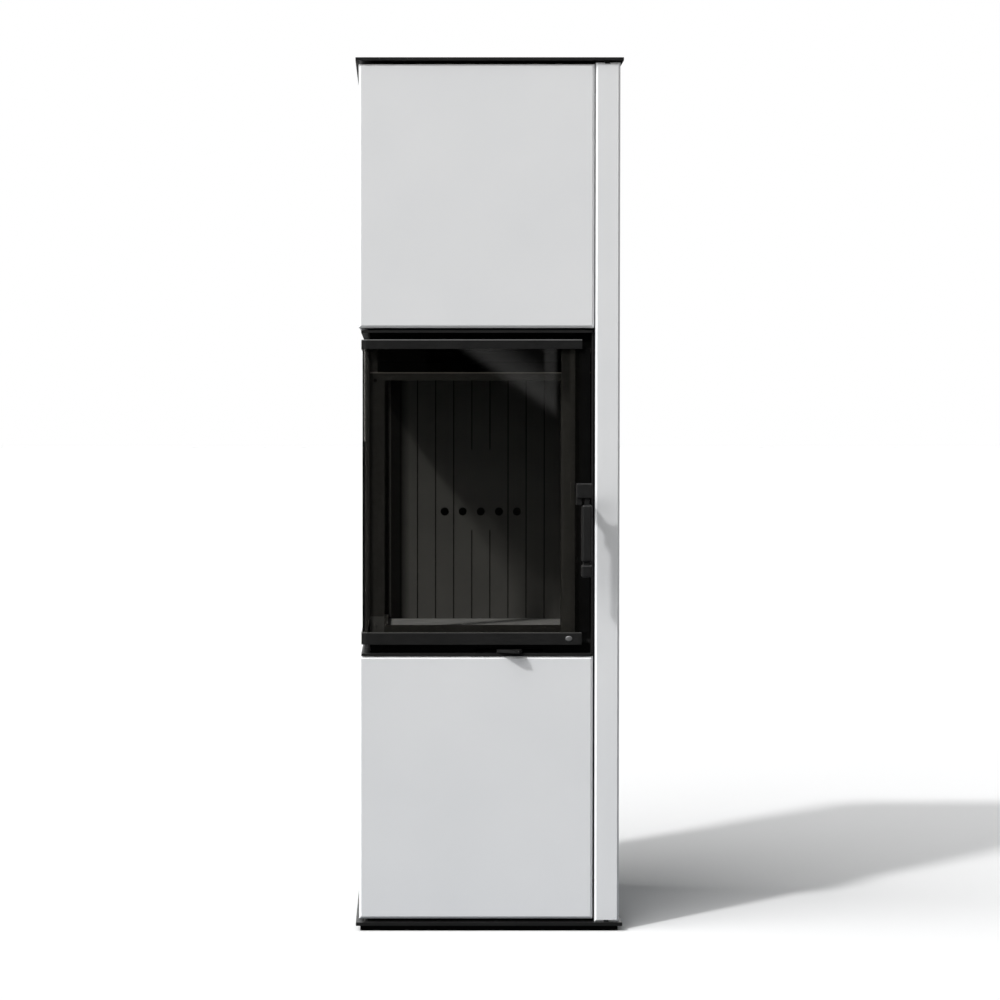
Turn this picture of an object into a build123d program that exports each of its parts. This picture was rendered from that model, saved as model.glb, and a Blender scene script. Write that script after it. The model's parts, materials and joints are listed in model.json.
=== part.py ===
from build123d import *
import os

# A tall tiled stove. The fire door is bent round the front-left corner and turns on pins
# at its rear left; the tile below it is a second door; an air lever slides under the fire door.
# +Z is up, the front faces -Y, the origin lies on the floor under the middle of the cladding.
# All sizes are in millimetres.

# ---------------------------------------------------------------- overall
total_height = 1500.0
cladding_width = 448.0
cladding_depth = 440.0

# ---------------------------------------------------------------- plates that cross the stove
plinth_height = 9.5
plinth_inset = 2.0
plinth_rail_width = 20.0
foot_radius = 14.0
foot_disc_height = 4.0
foot_stud_radius = 5.0
foot_clearance = 6.0
base_plate_thickness = 6.0
top_plate_thickness = 5.0
plate_overhang = 5.5
plate_corner_radius = 2.0
shelf_thickness = 4.0
shelf_inset = 4.0
lower_shelf_bottom = 475.0
upper_shelf_bottom = 1030.5

# ---------------------------------------------------------------- tiles and side panel
tile_thickness = 22.0
tile_edge_bevel = 4.0
tile_corner_joint = 2.0
upper_tile_joint = 2.0
lower_tile_joint = 3.5
upper_tile_top_gap = 5.5
upper_ledge_height = 4.4
ledge_setback = 15.0
lower_tile_top_gap = 1.0
lower_ledge_height = 5.2
strip_width = 42.0
panel_thickness = 14.0
panel_edge_bevel = 3.4
panel_top_gap = 2.4
clip_width = 8.0
clip_height = 3.0
clip_offset = 22.0
clip_fit = 0.3
hook_width = 40.0
hook_height = 30.0
hook_inset = 60.0
side_tile_gap = 4.0
front_tile_gap = 8.0

# ---------------------------------------------------------------- carcass
sheet = 3.0
casing_gap = 3.0
casing_setback = 4.0
rear_inset = 12.0

# ---------------------------------------------------------------- fire door
door_inset = 4.0
door_gap_below = 15.0
door_gap_above = 11.5
door_corner_radius = 10.0
door_side_length = 304.0
door_recess = 16.5
rail_lip = 2.0
glass_thickness = 4.0
rail_back = 4.0
rail_web = 5.0
top_rail_height = 16.0
bottom_rail_height = 21.0
rail_edge_radius = 0.8
glass_end_gap = 5.0
glass_fit = 0.3
stile_gap = 2.5
stile_width = 25.5
rear_stile_width = 10.0
hinge_barrel_radius = 7.0
hinge_pin_radius = 4.0
running_fit = 0.05
spacer_wall = 2.5
spacer_gap = 0.3
seal_width = 8.0
seal_gap = 0.3
seal_side_width = 6.0
seal_offset = 2.5
seal_from_stile = 11.0
stud_width = 12.0
stud_height = 9.0
stud_depth = 1.5
stud_from_rail_end = 22.0

# ---------------------------------------------------------------- door handle and latch
spindle_radius = 6.0
spindle_from_stile_edge = 11.0
spindle_height = 744.0
sleeve_radius = 7.5
sleeve_gap = 1.0
grip_reach = 50.0
grip_width = 17.5
grip_depth = 26.0
grip_length = 97.0
grip_edge_radius = 4.0
head_height = 25.0
head_left_reach = 17.5
head_right_reach = 9.5
head_edge_radius = 2.0
neck_height = 11.0
neck_width = 8.0
neck_setback = 4.0
lug_width = 8.5
groove_height = 5.0
groove_inset = 3.0
end_height = 20.5
end_edge_radius = 3.0
spindle_below_neck_top = 4.0
cam_thickness = 3.0
cam_gap = 2.0
cam_hub_radius = 7.5
cam_width = 10.0
cam_length = 20.0
cam_hook = 1.5
roller_radius = 3.0
roller_gap = 0.5
keeper_thickness = 3.0
keeper_depth = 12.0
latch_slot_above = 27.0
latch_slot_below = 14.0
latch_slot_left = 23.0
latch_slot_right = 11.5
latch_pocket_depth = 14.0

# ---------------------------------------------------------------- frames behind the door
frame_inset = 15.0
post_width = 25.0
window_right_margin = 52.5
window_sill = 12.0
top_band_height = 14.0
slot_height = 40.0
slot_side_margin = 10.0
slot_below_top = 7.0
side_window_front_margin = 27.0
side_window_rear_margin = 55.0
side_slot_rear_margin = 45.0
screw_radius = 3.0
screw_head = 1.5
left_screw_inset = 9.0
right_screw_inset = 3.9

# ---------------------------------------------------------------- firebox
firebox_depth = 296.0
firebox_wall_gap = 7.0
floor_plate_height = 14.0
hearth_thickness = 20.0
right_lining_thickness = 24.0
fireback_thickness = 20.0
fireback_gap = 10.0
groove_count = 8
groove_pitch = 33.4
groove_width = 2.0
groove_depth = 3.0
bare_field_above_hearth = 164.0
bare_field_height = 148.0
air_hole_count = 5
air_hole_radius = 7.5
air_hole_above_hearth = 198.0
corner_lining_width = 24.0
corner_lining_depth = 20.0
corner_chamfer = 5.0
curb_width = 27.0
curb_height = 8.0
baffle_thickness = 20.0
baffle_front_gap = 108.0
smoke_gap = 25.0
firebox_top_gap = 17.5

# ---------------------------------------------------------------- grate, ash and air
grate_centre_x = -15.0
grate_width = 100.0
grate_depth = 86.0
grate_front_gap = 22.0
grate_fit = 1.0
grate_bars = 7
grate_bar_gap = 6.0
grate_rim = 8.0
grate_thickness = 14.0
chute_wall = 2.0
ash_box_margin = 10.0
ash_box_height = 90.0
ash_pan_clearance = 3.0
ash_pan_height = 52.0
ash_pan_wall = 1.0
lever_left = 13.5
lever_right = 57.0
lever_tip_width = 8.0
lever_tip_inset = 6.0
lever_reach = 23.3
lever_rise = 11.0
lever_drop = 6.3
lever_undercut = 1.5
lever_thickness = 6.0
lever_gap = 0.3
lever_front_gap = 0.5
lever_travel = 35.0
lever_slot_fit = 2.0
slide_width = 110.0
slide_depth = 14.5
slide_port_radius = 5.0
slide_port_pitch = 35.0
slide_ports = 3
air_box_width = 120.0
air_box_height = 125.0
air_box_front = -60.0
air_duct_x = -10.0
air_spigot_radius = 50.0
air_port_radius = 40.0
air_port_y = 50.0
spigot_length = 50.0
spigot_wall = 2.0
spigot_step = 1.0
spigot_neck = 2.0
spigot_fit = 0.3
spigot_flange = 8.0

# ---------------------------------------------------------------- flue and heat store
flue_x = -10.0
flue_y = 50.0
flue_pipe_radius = 70.0
flue_wall = 2.0
flue_outlet_from_top = 170.0
flue_pipe_above_outlet = 90.0
flue_spigot_radius = 75.0
flue_flange = 15.0
flue_shelf_fit = 2.0
stone_depth = 290.0
stone_height = 84.0
stone_gap = 0.3
stone_side_gap = 8.0
stone_flue_gap = 15.0
stone_top_gap = 20.0

# ---------------------------------------------------------------- lower door
carrier_thickness = 3.0
carrier_side_margin = 24.0
carrier_right_margin = 8.5
pivot_pin_radius = 3.0
pivot_tab = 3.0
pivot_tab_drop = 4.0
pivot_tab_reach = 5.5
tile_back_radius = 9.0
magnet_width = 26.0
magnet_depth = 10.0
magnet_height = 30.0
magnet_gap = 0.3

# ---------------------------------------------------------------- places worked out from the sizes
left = -cladding_width / 2
right = cladding_width / 2
front = -cladding_depth / 2
rear = cladding_depth / 2

base_top = plinth_height + base_plate_thickness
lower_shelf_top = lower_shelf_bottom + shelf_thickness
upper_shelf_top = upper_shelf_bottom + shelf_thickness
top_plate_bottom = total_height - top_plate_thickness

strip_left = right - strip_width
casing_outer = strip_left - casing_gap
casing_inner = casing_outer - sheet
shelf_left = left + shelf_inset
rear_panel_outer = rear - rear_inset
rear_panel_inner = rear_panel_outer - sheet
tile_back = front + tile_thickness
side_tile_back = left + tile_thickness
side_tile_front = tile_back + tile_corner_joint
side_sheet_outer = side_tile_back + side_tile_gap
side_sheet_inner = side_sheet_outer + sheet
front_sheet_outer = tile_back + front_tile_gap
front_sheet_inner = front_sheet_outer + sheet

lower_tile_bottom = base_top + lower_ledge_height
lower_tile_top = lower_shelf_bottom - lower_tile_top_gap
upper_tile_bottom = upper_shelf_top + upper_ledge_height
upper_tile_top = top_plate_bottom - upper_tile_top_gap
upper_tile_right = strip_left - upper_tile_joint
lower_tile_right = strip_left - lower_tile_joint

door_left = left + door_inset
door_front = front + door_inset
door_bottom = lower_shelf_top + door_gap_below
door_top = upper_shelf_bottom - door_gap_above
door_right = casing_inner - door_recess
door_rear = door_front + door_side_length
rail_depth = rail_lip + glass_thickness + rail_back
glass_right = door_right - glass_end_gap
glass_rear = door_rear - rail_back
glass_bottom = door_bottom + rail_web
glass_top = door_top - rail_web
upper_rail_bottom = door_top - top_rail_height
lower_rail_top = door_bottom + bottom_rail_height
stile_right = casing_inner - stile_gap
stile_left = stile_right - stile_width
stile_front = door_front + rail_lip + glass_thickness
stile_back = door_front + rail_depth
hinge_x = door_left + hinge_barrel_radius
hinge_y = door_rear + hinge_barrel_radius

frame_left = door_left + frame_inset
frame_front = door_front + frame_inset
frame_back = frame_front + sheet
side_frame_inner = frame_left + sheet
window_left = frame_left + post_width
window_right = casing_inner - window_right_margin
firebox_top_height = upper_shelf_bottom - firebox_top_gap - sheet
slot_top = firebox_top_height - slot_below_top
slot_bottom = slot_top - slot_height
window_bottom = lower_rail_top + window_sill
window_top = slot_bottom - top_band_height

fireback_front = frame_front + firebox_depth
fireback_back = fireback_front + fireback_thickness
firebox_rear = fireback_back + fireback_gap
firebox_wall_outer = casing_inner - firebox_wall_gap
firebox_wall_inner = firebox_wall_outer - sheet
lining_right = firebox_wall_inner - right_lining_thickness
corner_lining_left = side_frame_inner + curb_width
fireback_left = corner_lining_left + corner_lining_width
floor_plate_bottom = lower_shelf_top + floor_plate_height
floor_plate_top = floor_plate_bottom + sheet
hearth_top = floor_plate_top + hearth_thickness
lining_top = firebox_top_height - smoke_gap - baffle_thickness
groove_centre_x = (fireback_left + lining_right) / 2
bare_field_bottom = hearth_top + bare_field_above_hearth
bare_field_top = bare_field_bottom + bare_field_height
air_hole_height = hearth_top + air_hole_above_hearth
corner_lining_front = fireback_back - corner_lining_depth
jamb_y = hinge_y + hinge_barrel_radius + rail_lip

lever_top = lower_shelf_bottom + lever_rise
grate_left = grate_centre_x - grate_width / 2
grate_right = grate_centre_x + grate_width / 2
grate_front = frame_back + grate_front_gap
grate_rear = grate_front + grate_depth

flue_outlet_height = total_height - flue_outlet_from_top
flue_top = flue_outlet_height + flue_pipe_above_outlet

spindle_x = stile_right - spindle_from_stile_edge
grip_back = front - grip_reach
grip_front = grip_back - grip_depth
neck_top = spindle_height + spindle_below_neck_top
grip_top = neck_top - neck_height
grip_bottom = grip_top - grip_length
end_top = grip_bottom - groove_height
cam_front = frame_back + cam_gap
cam_back = cam_front + cam_thickness

pivot_x = left + tile_thickness / 2
pivot_y = front + tile_thickness / 2


# ---------------------------------------------------------------- helpers
def block(x0, x1, y0, y1, z0, z1):
    """A box from its two opposite corners."""
    box = Box(x1 - x0, y1 - y0, z1 - z0)
    return Pos((x0 + x1) / 2, (y0 + y1) / 2, (z0 + z1) / 2) * box


def rod_z(x, y, z0, z1, radius):
    """An upright cylinder between two heights."""
    return Pos(x, y, (z0 + z1) / 2) * Cylinder(radius, z1 - z0)


def rod_y(x, z, y0, y1, radius):
    """A cylinder that runs from front to rear."""
    return Pos(x, (y0 + y1) / 2, z) * Rot(90, 0, 0) * Cylinder(radius, y1 - y0)


def corner_region(offset, x_end, y_end):
    """Plan area behind a face that lies `offset` inside the door's outer faces."""
    x0 = door_left + offset
    y0 = door_front + offset
    outline = Pos((x0 + x_end) / 2, (y0 + y_end) / 2) * Rectangle(x_end - x0, y_end - y0)
    radius = door_corner_radius - offset
    if radius > 0:
        bend = outline.vertices().group_by(Axis.X)[0].group_by(Axis.Y)[0]
        outline = fillet(bend, radius)
    return outline


def corner_band(outer, inner, x_end, y_end, z0, z1):
    """An L-shaped wall that follows the bent door, between two depths from its outer face."""
    beyond = rail_depth
    wall = corner_region(outer, x_end, y_end) - corner_region(inner, x_end + beyond, y_end + beyond)
    return Pos(0, 0, z0) * extrude(wall, z1 - z0)


def bevel_face_edges(solid, axis, width):
    """Bevel the edges round the first face along an axis at 45 degrees."""
    face = solid.faces().sort_by(axis)[0]
    return chamfer(face.edges(), width)


def write(shape, node):
    """Write one node to its STEP file."""
    shape.label = node
    export_step(shape, f"parts/{node}.step")


os.makedirs("parts", exist_ok=True)


# ---------------------------------------------------------------- base
def make_plinth():
    x0 = left + plinth_inset
    x1 = right - plinth_inset
    y0 = front + plinth_inset
    y1 = rear - plinth_inset
    width = plinth_rail_width
    rails = [
        block(x0, x1, y0, y0 + width, 0, plinth_height),
        block(x0, x1, y1 - width, y1, 0, plinth_height),
        block(x0, x0 + width, y0 + width, y1 - width, 0, plinth_height),
        block(x1 - width, x1, y0 + width, y1 - width, 0, plinth_height),
        block(x0 + width, x1 - width, -width / 2, width / 2, 0, plinth_height),
    ]
    return Compound(children=rails)


def make_feet():
    reach_x = cladding_width / 2 - plinth_inset - plinth_rail_width - foot_radius - foot_clearance
    reach_y = cladding_depth / 2 - plinth_inset - plinth_rail_width - foot_radius - foot_clearance
    feet = []
    for x in (-reach_x, reach_x):
        for y in (-reach_y, reach_y):
            disc = rod_z(x, y, 0, foot_disc_height, foot_radius)
            stud = rod_z(x, y, foot_disc_height, plinth_height, foot_stud_radius)
            feet.append(disc + stud)
    return Compound(children=feet)


def make_cover_plate(z0, z1):
    plate = block(left - plate_overhang, right + plate_overhang, front - plate_overhang, rear, z0, z1)
    return fillet(plate.edges().filter_by(Axis.Z), plate_corner_radius)


base_plate = make_cover_plate(plinth_height, base_top)
base_plate -= rod_z(pivot_x, pivot_y, 0, total_height, pivot_pin_radius + running_fit)
write(make_plinth(), "plinth_frame")
write(make_feet(), "levelling_feet")
write(base_plate, "base_plate")
write(make_cover_plate(top_plate_bottom, total_height), "top_plate")


# ---------------------------------------------------------------- shelves
def make_shelf(z0):
    shelf = block(shelf_left, casing_inner, front, rear_panel_inner, z0, z0 + shelf_thickness)
    return shelf - rod_z(hinge_x, hinge_y, 0, total_height, hinge_pin_radius + running_fit)


slide_centre_x = (lever_left + lever_right) / 2
slide_front = frame_back + lever_front_gap
slide_back = slide_front + slide_depth
slide_centre_y = (slide_front + slide_back) / 2

upper_shelf = make_shelf(upper_shelf_bottom)
upper_shelf -= rod_z(flue_x, flue_y, 0, total_height, flue_pipe_radius + flue_shelf_fit)
write(upper_shelf, "upper_shelf")

lower_shelf = make_shelf(lower_shelf_bottom)
lower_shelf -= rod_z(pivot_x, pivot_y, 0, total_height, pivot_pin_radius + running_fit)
lower_shelf -= block(grate_left, grate_right, grate_front, grate_rear, 0, total_height)
lower_shelf -= rod_z(air_duct_x, air_port_y, 0, total_height, air_port_radius)
for index in range(slide_ports):
    port_x = slide_centre_x + (index - (slide_ports - 1) / 2) * slide_port_pitch
    lower_shelf -= rod_z(port_x, slide_centre_y, 0, total_height, slide_port_radius)
write(lower_shelf, "lower_shelf")


# ---------------------------------------------------------------- carcass sheets
right_casing = block(casing_inner, casing_outer, front_sheet_outer, rear_panel_inner, base_top,
                     top_plate_bottom)
right_casing += block(casing_inner, casing_outer, front + casing_setback, front_sheet_outer,
                      lower_shelf_bottom, upper_shelf_top)
write(right_casing, "right_casing_sheet")
left_sheets = [
    block(side_sheet_outer, side_sheet_inner, front_sheet_outer, rear_panel_inner, base_top,
          lower_shelf_bottom),
    block(side_sheet_outer, side_sheet_inner, front_sheet_inner, rear_panel_inner, upper_shelf_top,
          top_plate_bottom),
]
write(Compound(children=left_sheets), "left_sheets")
write(block(side_sheet_outer, casing_inner, front_sheet_outer, front_sheet_inner,
            upper_shelf_top, top_plate_bottom), "upper_front_sheet")

rear_panel_left = side_tile_back + clip_fit
air_spigot_height = lower_shelf_bottom - air_box_height / 2
rear_panel = block(rear_panel_left, right - panel_thickness, rear_panel_inner, rear_panel_outer,
                   base_top, top_plate_bottom)
spigot_hole_play = spigot_fit - spigot_step
rear_panel -= rod_y(flue_x, flue_outlet_height, front, rear, flue_spigot_radius + spigot_hole_play)
rear_panel -= rod_y(air_duct_x, air_spigot_height, front, rear, air_spigot_radius + spigot_hole_play)
write(rear_panel, "rear_panel")

side_closer = block(shelf_left, shelf_left + sheet, jamb_y, rear_panel_outer, lower_shelf_top,
                    upper_shelf_bottom)
side_closer += block(shelf_left, frame_left, jamb_y, jamb_y + sheet, lower_shelf_top, upper_shelf_bottom)
side_closer += block(shelf_left, rear_panel_left, rear_panel_inner, rear_panel_outer, lower_shelf_top,
                     upper_shelf_bottom)
write(side_closer, "rear_left_panel")


# ---------------------------------------------------------------- tiles and side panel
def make_front_tile(x1, z0, z1):
    tile = block(left, x1, front, tile_back, z0, z1)
    tile = bevel_face_edges(tile, Axis.Y, tile_edge_bevel)
    return tile


def make_side_tile(z0, z1):
    tile = block(left, side_tile_back, side_tile_front, rear, z0, z1)
    return bevel_face_edges(tile, Axis.X, tile_edge_bevel)


write(make_front_tile(upper_tile_right, upper_tile_bottom, upper_tile_top), "upper_front_tile")
write(make_side_tile(upper_tile_bottom, upper_tile_top), "upper_left_tile")
write(make_side_tile(lower_tile_bottom, lower_tile_top), "lower_left_tile")

panel_top = top_plate_bottom - panel_top_gap
clip_centre_x = right - clip_offset


def clip_notch(z0, z1, grow):
    """The space of one panel clip, grown by a clearance."""
    half = clip_width / 2 + grow
    return block(clip_centre_x - half, clip_centre_x + half, front - grow, front + panel_thickness + grow,
                 z0, z1)


side_panel = block(right - panel_thickness, right, front, rear, base_top, panel_top)
side_panel += block(strip_left, right, front, front + panel_thickness, base_top, panel_top)
side_panel = bevel_face_edges(side_panel, Axis.Y, panel_edge_bevel)
side_panel -= clip_notch(panel_top - clip_height - clip_fit, total_height, clip_fit)
side_panel -= clip_notch(0, base_top + clip_height + clip_fit, clip_fit)
write(side_panel, "right_side_panel")

clips = [
    clip_notch(panel_top - clip_height, top_plate_bottom, 0),
    clip_notch(base_top, base_top + clip_height, 0),
]
write(Compound(children=clips), "panel_clips")

ledge_front = front + ledge_setback
ledge_side = left + ledge_setback
ledges = [
    block(side_sheet_outer, upper_tile_right - ledge_setback, ledge_front, front_sheet_outer,
          upper_shelf_top, upper_tile_bottom),
    block(ledge_side, side_sheet_outer, side_tile_front + ledge_setback, rear_panel_inner,
          upper_shelf_top, upper_tile_bottom),
    block(ledge_side, side_sheet_outer, side_tile_front + ledge_setback, rear_panel_inner,
          base_top, lower_tile_bottom),
]
write(Compound(children=ledges), "tile_ledges")


def make_hooks():
    """Short steel blocks that tie the fixed tiles to the sheets behind them."""
    hooks = []
    upper_z = upper_tile_top - hook_inset
    lower_z = lower_tile_top - hook_inset
    for x in (side_sheet_inner + hook_inset, upper_tile_right - hook_inset - hook_width):
        hooks.append(block(x, x + hook_width, tile_back, front_sheet_outer, upper_z, upper_z + hook_height))
    for z in (lower_z, upper_z):
        for y in (front_sheet_inner + hook_inset, rear_panel_inner - hook_inset - hook_width):
            hooks.append(block(side_tile_back, side_sheet_outer, y, y + hook_width, z, z + hook_height))
    return Compound(children=hooks)


write(make_hooks(), "tile_hooks")


# ---------------------------------------------------------------- frames behind the door
lever_slot_left = lever_left - lever_travel - lever_slot_fit
lever_slot_right = lever_right + lever_travel + lever_slot_fit

front_frame = block(frame_left, casing_inner, frame_front, frame_back, lower_shelf_top, upper_shelf_bottom)
front_frame -= block(window_left, window_right, front, rear, window_bottom, window_top)
front_frame -= block(side_frame_inner + slot_side_margin, firebox_wall_inner - slot_side_margin,
                     front, rear, slot_bottom, slot_top)
front_frame -= block(lever_slot_left, lever_slot_right, front, rear, 0, lever_top + lever_gap)
front_frame -= block(spindle_x - latch_slot_left, spindle_x + latch_slot_right, front, rear,
                     spindle_height - latch_slot_below, spindle_height + latch_slot_above)
write(front_frame, "front_frame")

side_frame = block(frame_left, side_frame_inner, frame_back, firebox_rear, lower_shelf_top,
                   upper_shelf_bottom)
side_window_front = frame_back + side_window_front_margin
side_window_rear = firebox_rear - side_window_rear_margin
side_frame -= block(left, 0, side_window_front, side_window_rear, window_bottom, window_top)
side_frame -= block(left, 0, frame_back + slot_side_margin, firebox_rear - side_slot_rear_margin,
                    slot_bottom, slot_top)
write(side_frame, "side_frame")

screws = []
for x in (frame_left + left_screw_inset, window_right + right_screw_inset):
    for z in (window_bottom, window_top):
        screws.append(rod_y(x, z, frame_front - screw_head, frame_front, screw_radius))
write(Compound(children=screws), "frame_screws")


# ---------------------------------------------------------------- firebox
latch_pocket = block(window_right, casing_inner, frame_back, frame_back + latch_pocket_depth,
                     spindle_height - latch_slot_below, spindle_height + latch_slot_above)
firebox_right_wall = block(firebox_wall_inner, firebox_wall_outer, frame_back, firebox_rear,
                           lower_shelf_top, firebox_top_height)
write(firebox_right_wall - latch_pocket, "firebox_right_wall")
write(block(frame_left, firebox_wall_outer, firebox_rear, firebox_rear + sheet, lower_shelf_top,
            firebox_top_height), "firebox_rear_wall")

flue_bore = flue_pipe_radius - flue_wall
firebox_top = block(side_frame_inner, firebox_wall_outer, frame_back, firebox_rear + sheet,
                    firebox_top_height, firebox_top_height + sheet)
firebox_top -= rod_z(flue_x, flue_y, 0, total_height, flue_bore)
write(firebox_top, "firebox_top")

floor_hole = block(grate_left, grate_right, grate_front, grate_rear, 0, total_height)
floor_plate = block(side_frame_inner, firebox_wall_inner, frame_back, firebox_rear, floor_plate_bottom,
                    floor_plate_top)
chute = block(grate_left - chute_wall, grate_right + chute_wall, grate_front - chute_wall,
              grate_rear + chute_wall, lower_shelf_top, floor_plate_bottom)
write(floor_plate + chute - floor_hole, "floor_plate")

grate_seat = grate_rim + grate_fit
hearth = block(side_frame_inner, lining_right, frame_back, fireback_back, floor_plate_top, hearth_top)
hearth -= block(grate_left - grate_seat, grate_right + grate_seat, grate_front - grate_seat,
                grate_rear + grate_seat, 0, total_height)
write(hearth, "hearth_slab")

right_lining = block(lining_right, firebox_wall_inner, frame_back, fireback_back, floor_plate_top,
                     lining_top)
write(right_lining - latch_pocket, "right_lining")

corner_lining = block(corner_lining_left, fireback_left, corner_lining_front, fireback_back, hearth_top,
                      lining_top)
front_left_edge = corner_lining.edges().filter_by(Axis.Z).group_by(Axis.X)[0].sort_by(Axis.Y)[0]
corner_lining = chamfer(front_left_edge, corner_chamfer)
write(corner_lining, "rear_left_lining")

write(block(side_frame_inner, corner_lining_left, frame_back, corner_lining_front, hearth_top,
            hearth_top + curb_height), "side_curb")


def make_fireback():
    board = block(fireback_left, lining_right, fireback_front, fireback_back, hearth_top, lining_top)
    for index in range(groove_count):
        x = groove_centre_x + (index - (groove_count - 1) / 2) * groove_pitch
        low = x - groove_width / 2
        high = x + groove_width / 2
        deep = fireback_front + groove_depth
        if abs(x - groove_centre_x) < groove_pitch:
            board -= block(low, high, front, deep, hearth_top, bare_field_bottom)
            board -= block(low, high, front, deep, bare_field_top, lining_top)
        else:
            board -= block(low, high, front, deep, hearth_top, lining_top)
    for index in range(air_hole_count):
        x = groove_centre_x + (index - (air_hole_count - 1) / 2) * groove_pitch
        board -= rod_y(x, air_hole_height, fireback_front, fireback_back, air_hole_radius)
    return board


write(make_fireback(), "fireback")
write(block(side_frame_inner, firebox_wall_inner, frame_back + baffle_front_gap, fireback_back, lining_top,
            lining_top + baffle_thickness), "baffle_slab")


# ---------------------------------------------------------------- grate and ash
def make_grate():
    x0 = grate_left - grate_rim
    x1 = grate_right + grate_rim
    y0 = grate_front - grate_rim
    y1 = grate_rear + grate_rim
    grate = block(x0, x1, y0, y1, floor_plate_top, floor_plate_top + grate_thickness)
    pitch = grate_width / grate_bars
    for index in range(grate_bars):
        x = grate_left + (index + 0.5) * pitch
        grate -= block(x - grate_bar_gap / 2, x + grate_bar_gap / 2, grate_front, grate_rear, 0, total_height)
    return grate


write(make_grate(), "grate")

ash_left = grate_left - ash_box_margin
ash_right = grate_right + ash_box_margin
ash_front = grate_front - ash_box_margin
ash_rear = grate_rear + ash_box_margin
ash_bottom = lower_shelf_bottom - ash_box_height
ash_box = block(ash_left, ash_right, ash_front, ash_rear, ash_bottom, lower_shelf_bottom)
ash_box -= block(ash_left + chute_wall, ash_right - chute_wall, ash_front + chute_wall,
                 ash_rear - chute_wall, ash_bottom + chute_wall, total_height)
write(ash_box, "ash_box")

pan_bottom = ash_bottom + chute_wall


def ash_space(inset, z0, z1):
    """The plan of the ash box drawn in on every side."""
    return block(ash_left + inset, ash_right - inset, ash_front + inset, ash_rear - inset, z0, z1)


pan_inset = chute_wall + ash_pan_clearance
ash_pan = ash_space(pan_inset, pan_bottom, pan_bottom + ash_pan_height)
ash_pan -= ash_space(pan_inset + ash_pan_wall, pan_bottom + ash_pan_wall, total_height)
write(ash_pan, "ash_pan")


# ---------------------------------------------------------------- air supply
air_box_left = air_duct_x - air_box_width / 2
air_box_right = air_duct_x + air_box_width / 2
air_box_bottom = lower_shelf_bottom - air_box_height
duct_rear = rear_panel_inner - spigot_wall
air_box = block(air_box_left, air_box_right, air_box_front, duct_rear, air_box_bottom,
                lower_shelf_bottom)
air_box -= block(air_box_left + chute_wall, air_box_right - chute_wall, air_box_front + chute_wall,
                 duct_rear - chute_wall, air_box_bottom + chute_wall, total_height)
air_box -= rod_y(air_duct_x, air_spigot_height, 0, rear, air_spigot_radius - spigot_step - spigot_wall)
write(air_box, "air_box")


def make_spigot(x, z, radius, flange):
    """A rear collar: a neck through the panel with a flange inside, and a wider stub outside."""
    back = rear_panel_outer + spigot_length
    stub_front = rear_panel_outer + spigot_neck
    neck_radius = radius - spigot_step
    spigot = rod_y(x, z, duct_rear, rear_panel_inner, radius + flange)
    spigot += rod_y(x, z, duct_rear, stub_front, neck_radius)
    spigot += rod_y(x, z, stub_front, back, radius)
    return spigot - rod_y(x, z, duct_rear, back, neck_radius - spigot_wall)


write(make_spigot(air_duct_x, air_spigot_height, air_spigot_radius, spigot_flange), "air_spigot")
write(make_spigot(flue_x, flue_outlet_height, flue_spigot_radius, flue_flange), "flue_spigot")

pipe_bottom = firebox_top_height + sheet
flue_pipe = rod_z(flue_x, flue_y, pipe_bottom, flue_top, flue_pipe_radius)
flue_pipe += rod_y(flue_x, flue_outlet_height, flue_y, duct_rear, flue_pipe_radius)
flue_pipe -= rod_z(flue_x, flue_y, pipe_bottom, flue_top - flue_wall, flue_bore)
flue_pipe -= rod_y(flue_x, flue_outlet_height, flue_y, duct_rear, flue_bore)
write(flue_pipe, "flue_pipe")


def make_stones():
    """Two stacks of blocks, one each side of the flue pipe, as high as the space takes."""
    flue_space = flue_pipe_radius + stone_flue_gap
    stacks = [
        (side_sheet_inner + stone_side_gap, flue_x - flue_space),
        (flue_x + flue_space, casing_inner - stone_side_gap),
    ]
    y0 = flue_y - stone_depth / 2
    pitch = stone_height + stone_gap
    space = top_plate_bottom - stone_top_gap - upper_shelf_top
    stones = []
    for layer in range(int(space // pitch)):
        z0 = upper_shelf_top + layer * pitch
        for x0, x1 in stacks:
            stones.append(block(x0, x1, y0, y0 + stone_depth, z0, z0 + stone_height))
    return Compound(children=stones)


write(make_stones(), "heat_storage_stones")


# ---------------------------------------------------------------- air lever
def make_lever():
    neck_front = front - lever_front_gap
    tip_front = front - lever_reach
    low = lower_shelf_bottom + lever_drop
    outline = Polyline(
        (lever_left, neck_front),
        (lever_right, neck_front),
        (lever_right - lever_tip_inset, tip_front),
        (lever_right - lever_tip_inset - lever_tip_width, tip_front),
        close=True,
    )
    tab = Pos(0, 0, low) * extrude(make_face(outline), lever_top - low)
    under_front = tab.edges().filter_by(Axis.X).group_by(Axis.Y)[0].sort_by(Axis.Z)[0]
    tab = chamfer(under_front, lever_undercut)
    slide_top = lower_shelf_top + lever_gap + sheet
    neck_bottom = lower_shelf_top + lever_gap
    neck_top_z = neck_bottom + lever_thickness
    neck = block(lever_left, lever_right, neck_front, frame_back, neck_bottom, neck_top_z)
    tongue = block(lever_left, lever_right, frame_back, slide_back, slide_top, neck_top_z)
    return tab + neck + tongue


write(make_lever(), "air_lever")

slide = block(slide_centre_x - slide_width / 2, slide_centre_x + slide_width / 2, slide_front, slide_back,
              lower_shelf_top + lever_gap, lower_shelf_top + lever_gap + sheet)
for index in range(slide_ports):
    port_x = slide_centre_x + (index - (slide_ports - 1) / 2) * slide_port_pitch
    slide -= rod_z(port_x, slide_centre_y, 0, total_height, slide_port_radius)
write(slide, "air_slide")


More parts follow.
